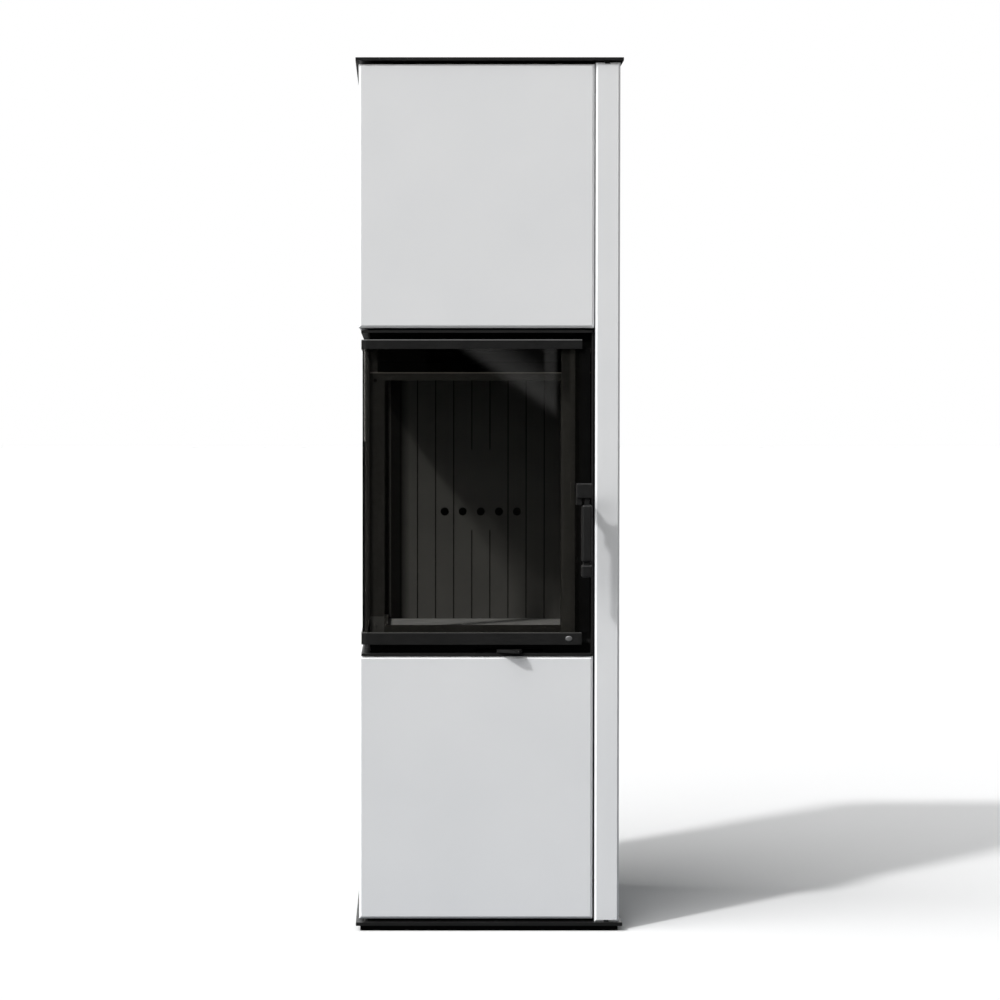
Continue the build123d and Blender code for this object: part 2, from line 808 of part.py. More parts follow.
# ---------------------------------------------------------------- fire door
glass_front = rail_lip
glass_back = rail_lip + glass_thickness
glass = corner_band(glass_front, glass_back, glass_right, glass_rear, glass_bottom, glass_top)
write(glass, "door_glass")


def make_rail(z0, z1, glass_z0, glass_z1):
    """A channel that holds one long edge of the bent glass."""
    rail = corner_band(0, rail_depth, door_right, door_rear, z0, z1)
    rail = fillet(rail.edges().filter_by(Axis.Z, reverse=True).group_by(Axis.Z)[-1], rail_edge_radius)
    slot = corner_band(glass_front, glass_back, glass_right + glass_fit, glass_rear + glass_fit,
                       glass_z0, glass_z1)
    return rail - slot


write(make_rail(upper_rail_bottom, door_top, 0, glass_top + glass_fit), "door_top_rail")
write(make_rail(door_bottom, lower_rail_top, glass_bottom - glass_fit, total_height), "door_bottom_rail")

stile = block(stile_left, stile_right, stile_front, stile_back, lower_rail_top, upper_rail_bottom)
stile -= rod_y(spindle_x, spindle_height, stile_front, stile_back, spindle_radius + running_fit)
write(stile, "door_right_stile")

rear_stile = block(door_left, door_left + rail_depth, door_rear - rear_stile_width, door_rear, lower_rail_top,
                   upper_rail_bottom)
rear_stile -= block(door_left + glass_front, door_left + glass_back, 0, glass_rear + glass_fit, 0,
                    total_height)
rear_stile += block(door_left, door_left + rail_depth, door_rear, hinge_y, door_bottom, door_top)
rear_stile += rod_z(hinge_x, hinge_y, door_bottom, door_top, hinge_barrel_radius)
write(rear_stile, "door_rear_stile")

pins = [
    rod_z(hinge_x, hinge_y, door_top, upper_shelf_top, hinge_pin_radius),
    rod_z(hinge_x, hinge_y, lower_shelf_bottom, door_bottom, hinge_pin_radius),
]
spacer_radius = hinge_pin_radius + spacer_wall
upper_spacer = rod_z(hinge_x, hinge_y, door_top, upper_shelf_bottom - spacer_gap, spacer_radius)
lower_spacer = rod_z(hinge_x, hinge_y, lower_shelf_top + spacer_gap, door_bottom, spacer_radius)
spacer_bore = rod_z(hinge_x, hinge_y, 0, total_height, hinge_pin_radius + running_fit)
spacers = [upper_spacer - spacer_bore, lower_spacer - spacer_bore]
write(Compound(children=pins + spacers), "door_hinge_pins")

seal_back = frame_inset - seal_gap
seal_right = stile_left - seal_from_stile
seal_rear = door_rear - seal_offset
seal_low = door_bottom + rail_web
seal_high = door_top - rail_web
seal = corner_band(rail_depth, seal_back, seal_right, seal_rear, seal_high - seal_width, seal_high)
seal += corner_band(rail_depth, seal_back, seal_right, seal_rear, seal_low, seal_low + seal_width)
seal += block(seal_right - seal_side_width, seal_right, stile_front, frame_front - seal_gap,
              lower_rail_top, upper_rail_bottom)
seal += block(seal_right - seal_side_width, seal_right, stile_back, frame_front - seal_gap,
              seal_low, seal_high)
seal += block(door_left + rail_depth, frame_left - seal_gap, seal_rear - seal_side_width, seal_rear,
              seal_low, seal_high)
write(seal, "door_seal")

stud_x = door_right - stud_from_rail_end
stud_z = (door_bottom + lower_rail_top) / 2
stud = Plane((stud_x, door_front, stud_z), x_dir=(1, 0, 0), z_dir=(0, -1, 0)) * Ellipse(
    stud_width / 2, stud_height / 2)
write(extrude(stud, stud_depth), "door_stud")


# ---------------------------------------------------------------- handle and latch
def rounded_block(x0, x1, y0, y1, z0, z1, radius):
    solid = block(x0, x1, y0, y1, z0, z1)
    return fillet(solid.edges(), radius)


head_left = spindle_x - head_left_reach
head = rounded_block(head_left, spindle_x + head_right_reach, grip_front, grip_back, neck_top,
                     neck_top + head_height, head_edge_radius)
head += block(head_left, head_left + lug_width, grip_front + neck_setback, grip_back, grip_top,
              neck_top + head_edge_radius)
write(head, "handle_head")

grip_left = spindle_x - grip_width / 2
grip_right = spindle_x + grip_width / 2
grip = rounded_block(grip_left, grip_right, grip_front, grip_back, grip_bottom, grip_top, grip_edge_radius)
grip += block(spindle_x - neck_width / 2, spindle_x + neck_width / 2, grip_front + neck_setback, grip_back,
              grip_top - grip_edge_radius, neck_top)
grip += block(grip_left + groove_inset, grip_right - groove_inset, grip_front + neck_setback,
              grip_back - neck_setback, end_top, grip_bottom + grip_edge_radius)
write(grip, "handle_grip")
write(rounded_block(grip_left, grip_right, grip_front, grip_back, end_top - end_height, end_top,
                    end_edge_radius), "handle_end")

sleeve_end = stile_front - sleeve_gap
spindle_bore = spindle_radius + running_fit
sleeve = rod_y(spindle_x, spindle_height, grip_back, sleeve_end, sleeve_radius)
sleeve -= rod_y(spindle_x, spindle_height, grip_back, sleeve_end, spindle_bore)
write(sleeve, "handle_sleeve")
write(rod_y(spindle_x, spindle_height, grip_back, cam_back, spindle_radius), "handle_spindle")

cam = rod_y(spindle_x, spindle_height, cam_front, cam_back, cam_hub_radius)
cam += block(spindle_x - cam_width / 2, spindle_x + cam_width / 2, cam_front, cam_back, spindle_height,
             spindle_height + cam_length)
cam += block(spindle_x, spindle_x + cam_width / 2 + cam_hook, cam_front, cam_back,
             spindle_height + cam_length - cam_width, spindle_height + cam_length)
cam -= rod_y(spindle_x, spindle_height, cam_front, cam_back, spindle_radius)
write(cam, "latch_cam")

roller_x = spindle_x + cam_width / 2 + cam_hook + roller_gap + roller_radius
roller_y = frame_back + keeper_depth / 2
keeper_top = spindle_height + cam_length + keeper_thickness
keeper_bottom = spindle_height + cam_length - cam_width - keeper_thickness
keeper_back = frame_back + keeper_depth
keeper_lugs = [
    block(roller_x, casing_inner, frame_back, keeper_back, keeper_bottom - keeper_thickness, keeper_bottom),
    block(roller_x, casing_inner, frame_back, keeper_back, keeper_top, keeper_top + keeper_thickness),
]
roller = rod_z(roller_x, roller_y, keeper_bottom, keeper_top, roller_radius)
write(Compound(children=keeper_lugs + [roller]), "latch_keeper")


# ---------------------------------------------------------------- lower door
tab_low = lower_tile_bottom + pivot_tab_drop
tab_high = lower_tile_top - pivot_tab_drop
tab_front = pivot_y - pivot_tab_reach
carrier_left = left + carrier_side_margin
carrier_right = lower_tile_right - carrier_right_margin
carrier_back = tile_back + carrier_thickness

lower_tile = make_front_tile(lower_tile_right, lower_tile_bottom, lower_tile_top)
back_left_edge = lower_tile.edges().filter_by(Axis.Z).group_by(Axis.X)[0].sort_by(Axis.Y)[-1]
lower_tile = fillet(back_left_edge, tile_back_radius)
pocket_left = left - clip_fit
pocket_right = carrier_left + tile_thickness
pocket_front = tab_front - clip_fit
upper_pocket = tab_high - pivot_tab - clip_fit
lower_pocket = tab_low + pivot_tab + clip_fit
lower_tile -= block(pocket_left, pocket_right, pocket_front, tile_back, upper_pocket, lower_tile_top)
lower_tile -= block(pocket_left, pocket_right, pocket_front, tile_back, lower_tile_bottom, lower_pocket)
write(lower_tile, "lower_front_tile")

tab_left = pivot_x - pivot_tab_reach
carrier = block(carrier_left, carrier_right, tile_back, carrier_back, tab_low, tab_high)
for z0 in (tab_low, tab_high - pivot_tab):
    tab = block(tab_left, pocket_right - clip_fit, tab_front, carrier_back, z0, z0 + pivot_tab)
    swing_room = rod_z(pivot_x, pivot_y, z0, z0 + pivot_tab, tile_thickness / 2)
    swing_room += block(pivot_x, pocket_right, tab_front, tile_back, z0, z0 + pivot_tab)
    carrier += tab & swing_room
write(carrier, "lower_door_carrier")

pivot_pins = [
    rod_z(pivot_x, pivot_y, tab_high, lower_shelf_top, pivot_pin_radius),
    rod_z(pivot_x, pivot_y, plinth_height, tab_low, pivot_pin_radius),
]
write(Compound(children=pivot_pins), "lower_door_pins")

magnet_z = (lower_tile_bottom + lower_tile_top) / 2
magnet_front = carrier_back + magnet_gap
write(block(casing_inner - magnet_width, casing_inner, magnet_front, magnet_front + magnet_depth,
            magnet_z - magnet_height / 2, magnet_z + magnet_height / 2), "magnet_catch")
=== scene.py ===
# %% [markdown]
# # A tall tiled stove
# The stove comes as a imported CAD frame: every plate, tile, pin and lever is already in its place.
# This lesson gives the frame its glaze, paint, fireboard and glass, adds the pieces that plain CAD
# solids show too simply, and sets up the light and the camera.
# All lengths are metres. +Z is up, the front of the stove faces -Y, and the floor is Z = 0.

# %% Load the frame
import json
import math

import bmesh
import bpy
import numpy as np
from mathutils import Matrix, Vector


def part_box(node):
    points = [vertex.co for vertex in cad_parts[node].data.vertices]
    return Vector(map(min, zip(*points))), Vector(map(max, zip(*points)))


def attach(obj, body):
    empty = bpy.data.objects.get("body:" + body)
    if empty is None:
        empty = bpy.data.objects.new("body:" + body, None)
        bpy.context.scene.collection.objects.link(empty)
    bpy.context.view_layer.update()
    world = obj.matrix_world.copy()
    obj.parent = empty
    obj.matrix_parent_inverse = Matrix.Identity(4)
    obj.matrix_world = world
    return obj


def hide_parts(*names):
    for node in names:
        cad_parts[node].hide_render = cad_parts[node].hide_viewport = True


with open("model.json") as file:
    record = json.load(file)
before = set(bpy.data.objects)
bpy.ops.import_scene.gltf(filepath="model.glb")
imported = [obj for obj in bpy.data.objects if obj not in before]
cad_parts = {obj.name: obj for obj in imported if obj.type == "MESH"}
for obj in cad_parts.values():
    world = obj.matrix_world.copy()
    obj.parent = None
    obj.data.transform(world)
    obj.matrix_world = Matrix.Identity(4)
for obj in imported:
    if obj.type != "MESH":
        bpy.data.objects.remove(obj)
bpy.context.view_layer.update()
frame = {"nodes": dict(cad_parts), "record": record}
nodes = frame["nodes"]

# %% [markdown]
# ## Camera
# The stove is seen from the front and a little from the left. In the picture its upright edges
# close in slightly towards the floor, so the camera looks down by a degree and a half, and the
# lines that run to the rear meet left of the middle, so the lens is shifted sideways.
# A long lens at 4.2 m keeps the cladding nearly free of perspective, as in a catalogue picture.

# %% Camera
picture_pixels = 1000
focal_pixels = 2445.9
sensor_width = 36.0
lens_shift = (0.0963, -0.0024)
camera_x = -0.147
camera_height = 0.8517
camera_distance = 4.2
camera_pitch = 0.0248
stove_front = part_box("upper_front_tile")[0].y

camera_data = bpy.data.cameras.new("camera")
camera_data.sensor_width = sensor_width
camera_data.lens = focal_pixels / picture_pixels * sensor_width
camera_data.shift_x, camera_data.shift_y = lens_shift
camera_data.clip_end = 200.0
camera = bpy.data.objects.new("camera", camera_data)
camera.location = (camera_x, stove_front - camera_distance, camera_height)
camera.rotation_euler = (math.pi / 2 - camera_pitch, 0.0, 0.0)
bpy.context.scene.collection.objects.link(camera)
bpy.context.scene.camera = camera
bpy.context.scene.view_settings.view_transform = "Standard"
print("lens", round(camera_data.lens, 2), "mm at", [round(v, 3) for v in camera.location])

# %% [markdown]
# ## Shader nodes
# Room, floor and every finish are small graphs of shader nodes. One helper adds a node and fills
# its sockets with plain values or with links from other nodes. A finish starts as one Principled
# shader, and a graph can tell the kinds of ray apart, such as those that come from the camera.

# %% Helpers for shader nodes


def fill(tree, socket, value):
    """Link a socket to the one given as value, or give it the plain value."""
    if isinstance(value, bpy.types.NodeSocket):
        tree.links.new(value, socket)
    else:
        socket.default_value = value


def add_node(tree, kind, *ordered, operation=None, **named):
    """Add a shader node and fill its sockets, in their order or by name with _ for a space."""
    made = tree.nodes.new("ShaderNode" + kind)
    if operation is not None:
        made.operation = operation
    for socket, value in zip(made.inputs, ordered):
        fill(tree, socket, value)
    for name, value in named.items():
        fill(tree, made.inputs[name.replace("_", " ")], value)
    return made


def combine(tree, operation, first, second):
    """The socket with the result of a sum on two values, such as MULTIPLY or MAXIMUM."""
    return add_node(tree, "Math", first, second, operation=operation).outputs[0]


def any_ray(tree, *kinds):
    """A socket that is 1 for any of the named kinds of ray and 0 for the others."""
    path = add_node(tree, "LightPath")
    found = path.outputs[kinds[0]]
    for kind in kinds[1:]:
        found = combine(tree, "MAXIMUM", found, path.outputs[kind])
    return found


def surface(material, name):
    """The socket of this name on the material's Principled shader."""
    return material.node_tree.nodes["Principled BSDF"].inputs[name]


def finish(name, colour, roughness, **values):
    """A material with one Principled shader and plain values on its sockets."""
    material = bpy.data.materials.new(name)
    material.use_nodes = True
    surface(material, "Base Color").default_value = (*colour, 1.0)
    surface(material, "Roughness").default_value = roughness
    for socket, value in values.items():
        surface(material, socket.replace("_", " ")).default_value = value
    return material


# %% [markdown]
# ## Light
# One small lamp stands high on the left in front of the stove. It throws the long shadow to the
# right over the floor and lets a slanting patch of light into the firebox. A very wide soft lamp
# on the same side fills in, and since the stove stands in its way, the floor darkens softly
# towards the right side. Most of it is flagged off the firebox, as with a card on a stand, so the
# patch stays clear. The rest is a pale room, plain white to the eye, which is a little brighter
# behind on the right, so the shaded side and the back keep their shape.

# %% Lamps
key_direction = Vector((1.05, 1.0, -1.42))
key_level = 0.55
key_degrees = 4.0
fill_direction = Vector((0.64, 0.44, -0.62))
fill_level = 0.82
soft_level = 0.12
fill_degrees = 75.0


def sun(name, direction, level, degrees):
    """A far lamp along a direction, wide enough in degrees to give its shadows a soft edge."""
    lamp = bpy.data.lights.new(name, "SUN")
    lamp.energy = level * math.pi
    lamp.angle = math.radians(degrees)
    holder = bpy.data.objects.new(name, lamp)
    holder.rotation_mode = "QUATERNION"
    holder.rotation_quaternion = direction.to_track_quat("-Z", "Y")
    holder.location = -2.0 * direction
    bpy.context.scene.collection.objects.link(holder)
    return holder


key_lamp = sun("key_lamp", key_direction, key_level, key_degrees)
fill_lamp = sun("fill_lamp", fill_direction, fill_level, fill_degrees)
soft_lamp = sun("soft_lamp", fill_direction, soft_level, fill_degrees)
inside_nodes = [
    "front_frame", "side_frame", "side_curb", "hearth_slab", "right_lining", "rear_left_lining",
    "fireback", "baffle_slab", "grate", "firebox_right_wall", "firebox_rear_wall", "firebox_top",
    "floor_plate", "latch_keeper",
]
flagged = bpy.data.collections.new("flagged_off")
for name in inside_nodes:
    flagged.objects.link(nodes[name])
for entry in flagged.collection_objects:
    entry.light_linking.link_state = "EXCLUDE"
fill_lamp.light_linking.receiver_collection = flagged
print("lamps", [round(lamp.data.energy, 2) for lamp in (key_lamp, fill_lamp, soft_lamp)])

# %% Room
room_level = 0.11
room_bright_level = 0.80
room_bright_side = (0.78, 0.62, 0.05)
room_bright_from = 0.55
room_tint = (0.96, 0.985, 1.0)

world = bpy.data.worlds.new("pale_room")
world.use_nodes = True
bpy.context.scene.world = world
room = world.node_tree
room_place = add_node(room, "TexCoord").outputs["Generated"]
room_turn = add_node(room, "VectorMath", room_place, room_bright_side, operation="DOT_PRODUCT")
room_share = add_node(room, "MapRange", Value=room_turn.outputs["Value"],
                      From_Min=room_bright_from, From_Max=1.0,
                      To_Min=room_level, To_Max=room_bright_level)
lighting = room.nodes["Background"]
fill(room, lighting.inputs["Color"], (*room_tint, 1.0))
fill(room, lighting.inputs["Strength"], room_share.outputs["Result"])
seen_white = add_node(room, "Background", Color=(1.0, 1.0, 1.0, 1.0), Strength=1.0)
seen = any_ray(room, "Is Camera Ray", "Is Glossy Ray", "Is Transmission Ray")
room_mix = add_node(room, "MixShader", seen, lighting.outputs[0], seen_white.outputs[0])
fill(room, room.nodes["World Output"].inputs["Surface"], room_mix.outputs[0])
print("room", room_level, "to", room_bright_level)

# %% [markdown]
# ## Tools for surfaces
# A new piece is an array of points with two directions, rows and columns. One helper turns such
# an array into a mesh, whatever the shape is, and closes it where the shape closes on itself.
# Another carries a flat profile straight up, for a strip.

# %% Grid of points to a mesh


def grid_faces(rows, columns, wrap_rows, wrap_columns):
    """Quads between neighbouring points of a grid, numbered row by row."""
    r = np.arange(rows if wrap_rows else rows - 1)
    c = np.arange(columns if wrap_columns else columns - 1)
    r0, c0 = np.meshgrid(r, c, indexing="ij")
    r1 = (r0 + 1) % rows
    c1 = (c0 + 1) % columns
    corners = [(r0, c0), (r0, c1), (r1, c1), (r1, c0)]
    return np.stack([r * columns + c for r, c in corners], -1).reshape(-1, 4)


def patch(points, wrap_rows=False, wrap_columns=True, lids=False):
    """Points and faces of one grid of points[row, column, xyz]. Lids close its end rows."""
    rows, columns = points.shape[:2]
    faces = grid_faces(rows, columns, wrap_rows, wrap_columns).tolist()
    if lids:
        faces.append(list(range(columns - 1, -1, -1)))
        faces.append(list(range((rows - 1) * columns, rows * columns)))
    return points.reshape(-1, 3), faces


def upright(profile, heights):
    """A closed profile of points (x, y), carried straight up through these heights."""
    rows, columns = len(heights), len(profile)
    xy = np.broadcast_to(profile, (rows, columns, 2))
    z = np.broadcast_to(np.reshape(heights, (rows, 1, 1)), (rows, columns, 1))
    return patch(np.concatenate([xy, z], -1), lids=True)


def make_piece(name, *patches, closed=True):
    """One mesh object from patches. Faces of closed patches are turned outwards."""
    starts = np.cumsum([0] + [len(points) for points, _ in patches])
    faces = [
        [start + corner for corner in face]
        for start, (_, part) in zip(starts, patches) for face in part
    ]
    mesh = bpy.data.meshes.new(name)
    mesh.from_pydata(np.concatenate([points for points, _ in patches]).tolist(), [], faces)
    if closed:
        sheet = bmesh.new()
        sheet.from_mesh(mesh)
        bmesh.ops.recalc_face_normals(sheet, faces=sheet.faces)
        sheet.to_mesh(mesh)
        sheet.free()
    piece = bpy.data.objects.new(name, mesh)
    bpy.context.scene.collection.objects.link(piece)
    return piece


def smooth(piece, angle=math.radians(35)):
    """Smooth shading, with edges sharper than the angle kept crisp."""
    piece.data.polygons.foreach_set("use_smooth", np.ones(len(piece.data.polygons), bool))
    piece.data.set_sharp_from_angle(angle=angle)


# %% [markdown]
# ## Floor
# The floor is a wide pale sheet that only catches the shadow. To the eye it is nearly white. As a
# source of light it is dull and slightly blue close to the stove and paler further out, so the
# upper tiles stay a shade lighter than the lower ones. Gloss and glass see it dark, as they see
# a black cloth laid in front of the stove.

# %% Floor
floor_half = 400.0
floor_near, floor_far = 0.4, 2.4
floor_near_colour = (0.17, 0.19, 0.215, 1.0)
floor_far_colour = (0.36, 0.355, 0.345, 1.0)
floor_cloth_colour = (0.012, 0.012, 0.012, 1.0)

across = np.linspace(-floor_half, floor_half, 3)
fx, fy = np.meshgrid(across, across, indexing="xy")
floor_points = np.stack([fx, fy, 0 * fx], -1)
floor = make_piece("floor", patch(floor_points, wrap_columns=False), closed=False)

floor_paint = finish("floor_white", (0.915, 0.915, 0.915), 1.0, Specular_IOR_Level=0.0)
floor_tree = floor_paint.node_tree
floor_place = add_node(floor_tree, "TexCoord").outputs["Object"]
floor_reach = add_node(floor_tree, "VectorMath", floor_place, operation="LENGTH")
floor_share = add_node(floor_tree, "MapRange", Value=floor_reach.outputs["Value"],
                       From_Min=floor_near, From_Max=floor_far)
floor_shades = add_node(floor_tree, "ValToRGB", Fac=floor_share.outputs["Result"])
floor_shades.color_ramp.elements[0].color = floor_near_colour
floor_shades.color_ramp.elements[1].color = floor_far_colour
floor_bounce = add_node(floor_tree, "BsdfDiffuse", Color=floor_shades.outputs["Color"])
floor_dark = add_node(floor_tree, "BsdfDiffuse", Color=floor_cloth_colour)
floor_gloss = add_node(
    floor_tree, "MixShader", any_ray(floor_tree, "Is Glossy Ray", "Is Transmission Ray"),
    floor_bounce.outputs[0], floor_dark.outputs[0])
floor_mix = add_node(
    floor_tree, "MixShader", any_ray(floor_tree, "Is Camera Ray"),
    floor_gloss.outputs[0], floor_tree.nodes["Principled BSDF"].outputs[0])
fill(floor_tree, floor_tree.nodes["Material Output"].inputs["Surface"], floor_mix.outputs[0])
floor.data.materials.append(floor_paint)
print("floor", 2 * floor_half, "m wide")

# %% [markdown]
# ## Black drape
# Photographers hang black cloth round the camera, so glass and gloss in front of it stay clear.
# Here it is a good half of a cylinder, p(a, z) = (R cos a, R sin a, z) with a from the rear left
# over the front to the right, and only reflections see it, so the bend of the glass stays dark
# too.

# %% Drape
drape_radius = 6.0
drape_from, drape_to = 128.0, 362.0
drape_low, drape_high = -0.5, 6.0
drape_level = 0.006


def only_reflected(piece):
    """Stage piece that eye, light and shadow pass by: only gloss and glass see it."""
    piece.visible_camera = False
    piece.visible_diffuse = False
    piece.visible_shadow = False
    piece.visible_volume_scatter = False


def glow(name, level):
    """A plain material that shines evenly with a low level."""
    return finish(name, (0.0, 0.0, 0.0), 1.0, Specular_IOR_Level=0.0,
                  Emission_Color=(1.0, 1.0, 1.0, 1.0), Emission_Strength=level)


drape_turn = np.radians(np.linspace(drape_from, drape_to, 118))
drape_z = np.linspace(drape_low, drape_high, 3)
turn, rise = np.meshgrid(drape_turn, drape_z, indexing="xy")
cloth = np.stack([drape_radius * np.cos(turn), drape_radius * np.sin(turn), rise], -1)
drape = make_piece("black_drape", patch(cloth, wrap_columns=False), closed=False)
drape.data.materials.append(glow("drape_black", drape_level))
only_reflected(drape)
print("drape radius", drape_radius)

# %% [markdown]
# ## Pale card
# A dim pale card in front of the cloth leaves a slanting sheen in the upper right corner of the
# door glass. The sheen is laid out on the glass, and its points are carried over to the card:
# the line from the eye to a point of the glass is mirrored there and runs on to the card. The
# card has a slanting soft edge, a veil that fades away from it, and a brighter band at its right
# end.

# %% Card
sheen_start, sheen_end = (-0.0443, 1.0035), (0.1018, 0.9003)
veil_near, veil_far = 0.30, 0.03
band_start, band_end, band_z = 0.0945, 0.1145, 0.9
band_level = 0.24
card_y = -5.8
card_left_margin, card_right_margin = 0.15, 0.06
card_low, card_high = 0.75, 1.6
card_reach = (stove_front - card_y) / camera_distance
eye = np.array([camera.location.x, camera.location.z])


def seen_in_glass(x, z):
    """Where on the card plane the eye sees a point of the front pane by reflection."""
    spot = np.array([x, z])
    return spot + (spot - eye) * card_reach


sheen_edge = np.array([seen_in_glass(*sheen_start), seen_in_glass(*sheen_end)])
slope = (sheen_edge[1] - sheen_edge[0]) / np.linalg.norm(sheen_edge[1] - sheen_edge[0])
away = np.array([-slope[1], slope[0]])
edge_at = float(sheen_edge[0] @ away)
band_left = seen_in_glass(band_start, band_z)[0]
band_right = seen_in_glass(band_end, band_z)[0]
card_x, card_z = np.meshgrid(
    [sheen_edge[0, 0] - card_left_margin, band_right + card_right_margin],
    [card_low, card_high], indexing="xy")
card_points = np.stack([card_x, card_y + 0 * card_x, card_z], -1)
card = make_piece("pale_card", patch(card_points, wrap_columns=False), closed=False)
card_paint = glow("card_pale", 0.0)
card_tree = card_paint.node_tree
card_place = add_node(card_tree, "TexCoord").outputs["Object"]


def card_step(direction, start, end, low=0.0, high=1.0):
    """Soft step across the card along a direction, from low at the start to high at the end."""
    normal = (direction[0], 0.0, direction[1])
    dot = add_node(card_tree, "VectorMath", card_place, normal, operation="DOT_PRODUCT")
    step = add_node(card_tree, "MapRange", Value=dot.outputs["Value"],
                    From_Min=start, From_Max=end, To_Min=low, To_Max=high)
    step.interpolation_type = "SMOOTHSTEP"
    return step.outputs["Result"]


slant = card_step(away, edge_at - 0.024, edge_at + 0.030)
veil = card_step(away, edge_at + 0.035, edge_at + 0.150, veil_near, veil_far)
band = card_step((1.0, 0.0), band_left - 0.010, band_left + 0.010, 0.0, band_level)
ends = card_step((1.0, 0.0), band_right - 0.012, band_right + 0.012, 1.0, 0.0)
brighter = combine(card_tree, "MAXIMUM", veil, band)
lit = combine(card_tree, "MULTIPLY", slant, combine(card_tree, "MULTIPLY", ends, brighter))
fill(card_tree, surface(card_paint, "Emission Strength"), lit)
card.data.materials.append(card_paint)
only_reflected(card)
print("card edge", sheen_edge.round(3).tolist())

# %% [markdown]
# ## Finishes
# A finish is a Principled shader with a pattern in its colour, its roughness and its relief. The
# patterns read Object coordinates, so they stay on the piece from every side. Small helpers build
# them: cloudy noise, a blend of two colours, a colour laid over, and relief from a height.

# %% Helpers for patterns


def cloud(material, scale, detail=3.0, low=0.35, high=0.65, stretch=(1, 1, 1)):
    """Cloudy noise on Object coordinates, with patches scale per metre, spread from 0 to 1."""
    tree = material.node_tree
    place = add_node(tree, "TexCoord").outputs["Object"]
    drawn = add_node(tree, "Mapping", Vector=place, Scale=stretch)
    noise = add_node(tree, "TexNoise", Vector=drawn.outputs["Vector"], Scale=scale, Detail=detail)
    spread = add_node(tree, "MapRange", Value=noise.outputs["Fac"], From_Min=low, From_Max=high)
    return spread.outputs["Result"]


def colour_socket(sockets, name):
    """The one socket of this name that carries a colour."""
    return [socket for socket in sockets if socket.name == name and socket.type == "RGBA"][0]


def blend_colours(material, factor, first, second):
    """Base colour that runs from the first colour to the second as the factor goes from 0 to 1."""
    tree = material.node_tree
    mix = add_node(tree, "Mix")
    mix.data_type = "RGBA"
    fill(tree, mix.inputs["Factor"], factor)
    colour_socket(mix.inputs, "A").default_value = (*first, 1.0)
    colour_socket(mix.inputs, "B").default_value = (*second, 1.0)
    fill(tree, surface(material, "Base Color"), colour_socket(mix.outputs, "Result"))
    return mix


def mix_over(material, factor, colour):
    """Lay a colour over the base colour where the factor is 1."""
    below = surface(material, "Base Color").links[0].from_socket
    mix = blend_colours(material, factor, colour, colour)
    fill(material.node_tree, colour_socket(mix.inputs, "A"), below)


def blend_roughness(material, factor, low, high):
    """Roughness that runs from low to high with the factor."""
    tree = material.node_tree
    spread = add_node(tree, "MapRange", Value=factor, To_Min=low, To_Max=high)
    fill(tree, surface(material, "Roughness"), spread.outputs["Result"])


def relief(material, *layers):
    """Relief from heights: each layer is (height socket, depth in metres, share)."""
    tree = material.node_tree
    below = None
    for height, depth, share in layers:
        bump = add_node(tree, "Bump", Height=height, Distance=depth, Strength=share)
        if below is not None:
            fill(tree, bump.inputs["Normal"], below)
        below = bump.outputs["Normal"]
    fill(tree, surface(material, "Normal"), below)


# %% [markdown]
# ## Glazed tile
# The cladding is large ceramic tiles under a satin light-grey glaze. A glaze is never quite even:
# it pools and thins by a shade over a hand's breadth, waves a little as it melts, and shows tiny
# pinholes. The bevelled edges are whiter, partly as glaze that runs thin there and partly as a
# painted highlight: on an even face one part of the normal is 1, on a bevel the largest part is
# 0.7. The shape is right already, so the glaze is all that the tiles need.

# %% Glazed tile
even_face, bevelled_face = 0.95, 0.75


def glaze_break_and_highlight(material, colour):
    """Mix towards this colour where the face leans between the main directions of the piece."""
    tree = material.node_tree
    normal = add_node(tree, "TexCoord").outputs["Normal"]
    size = add_node(tree, "VectorMath", normal, operation="ABSOLUTE").outputs["Vector"]
    x, y, z = add_node(tree, "SeparateXYZ", size).outputs
    largest = combine(tree, "MAXIMUM", combine(tree, "MAXIMUM", x, y), z)
    lean = add_node(tree, "MapRange", Value=largest, From_Min=even_face, From_Max=bevelled_face)
    mix_over(material, lean.outputs["Result"], colour)


glaze = finish("glazed_tile", (0.738, 0.743, 0.750), 0.42, Specular_IOR_Level=0.45,
               Coat_Weight=0.22, Coat_Roughness=0.18)
blend_colours(glaze, cloud(glaze, 5.0, 2.0), (0.728, 0.734, 0.742), (0.748, 0.752, 0.758))
# Whiter bevels: thin glaze and a painted highlight together.
glaze_break_and_highlight(glaze, (0.89, 0.895, 0.90))
blend_roughness(glaze, cloud(glaze, 60.0, 4.0), 0.38, 0.47)
relief(glaze, (cloud(glaze, 22.0, 2.0, 0.3, 0.7), 0.0004, 0.25),
       (cloud(glaze, 700.0, 2.0, 0.3, 0.7), 0.00003, 0.5))

# %% [markdown]
# ## Places on a piece
# Some places of a piece are darker or paler than others, mostly as painted shade and painted light.
# A ramp along one axis of the piece and a mask between two heights say where, and a shade darkens
# the colour there.

# %% Helpers for places


def ramp_along(material, axis, start, end):
    """0 at one place and 1 at another along an axis of the piece, straight in between."""
    tree = material.node_tree
    place = add_node(tree, "TexCoord").outputs["Object"]
    part = add_node(tree, "SeparateXYZ", place).outputs[axis]
    return add_node(tree, "MapRange", Value=part, From_Min=start, From_Max=end).outputs["Result"]


def height_mask(material, low, high, edge):
    """1 between two heights on the piece and 0 beyond them, with soft edges this wide."""
    above = ramp_along(material, "Z", low - edge, low)
    below = ramp_along(material, "Z", high + edge, high)
    return combine(material.node_tree, "MULTIPLY", above, below)


def shade_by(material, factor, dark):
    """Darken the base colour to this share of itself where the factor is 0."""
    tree = material.node_tree
    below = surface(material, "Base Color").links[0].from_socket
    level = add_node(tree, "MapRange", Value=factor, To_Min=dark).outputs["Result"]
    scaled = add_node(tree, "VectorMath", below, operation="SCALE", Scale=level)
    fill(tree, surface(material, "Base Color"), scaled.outputs["Vector"])
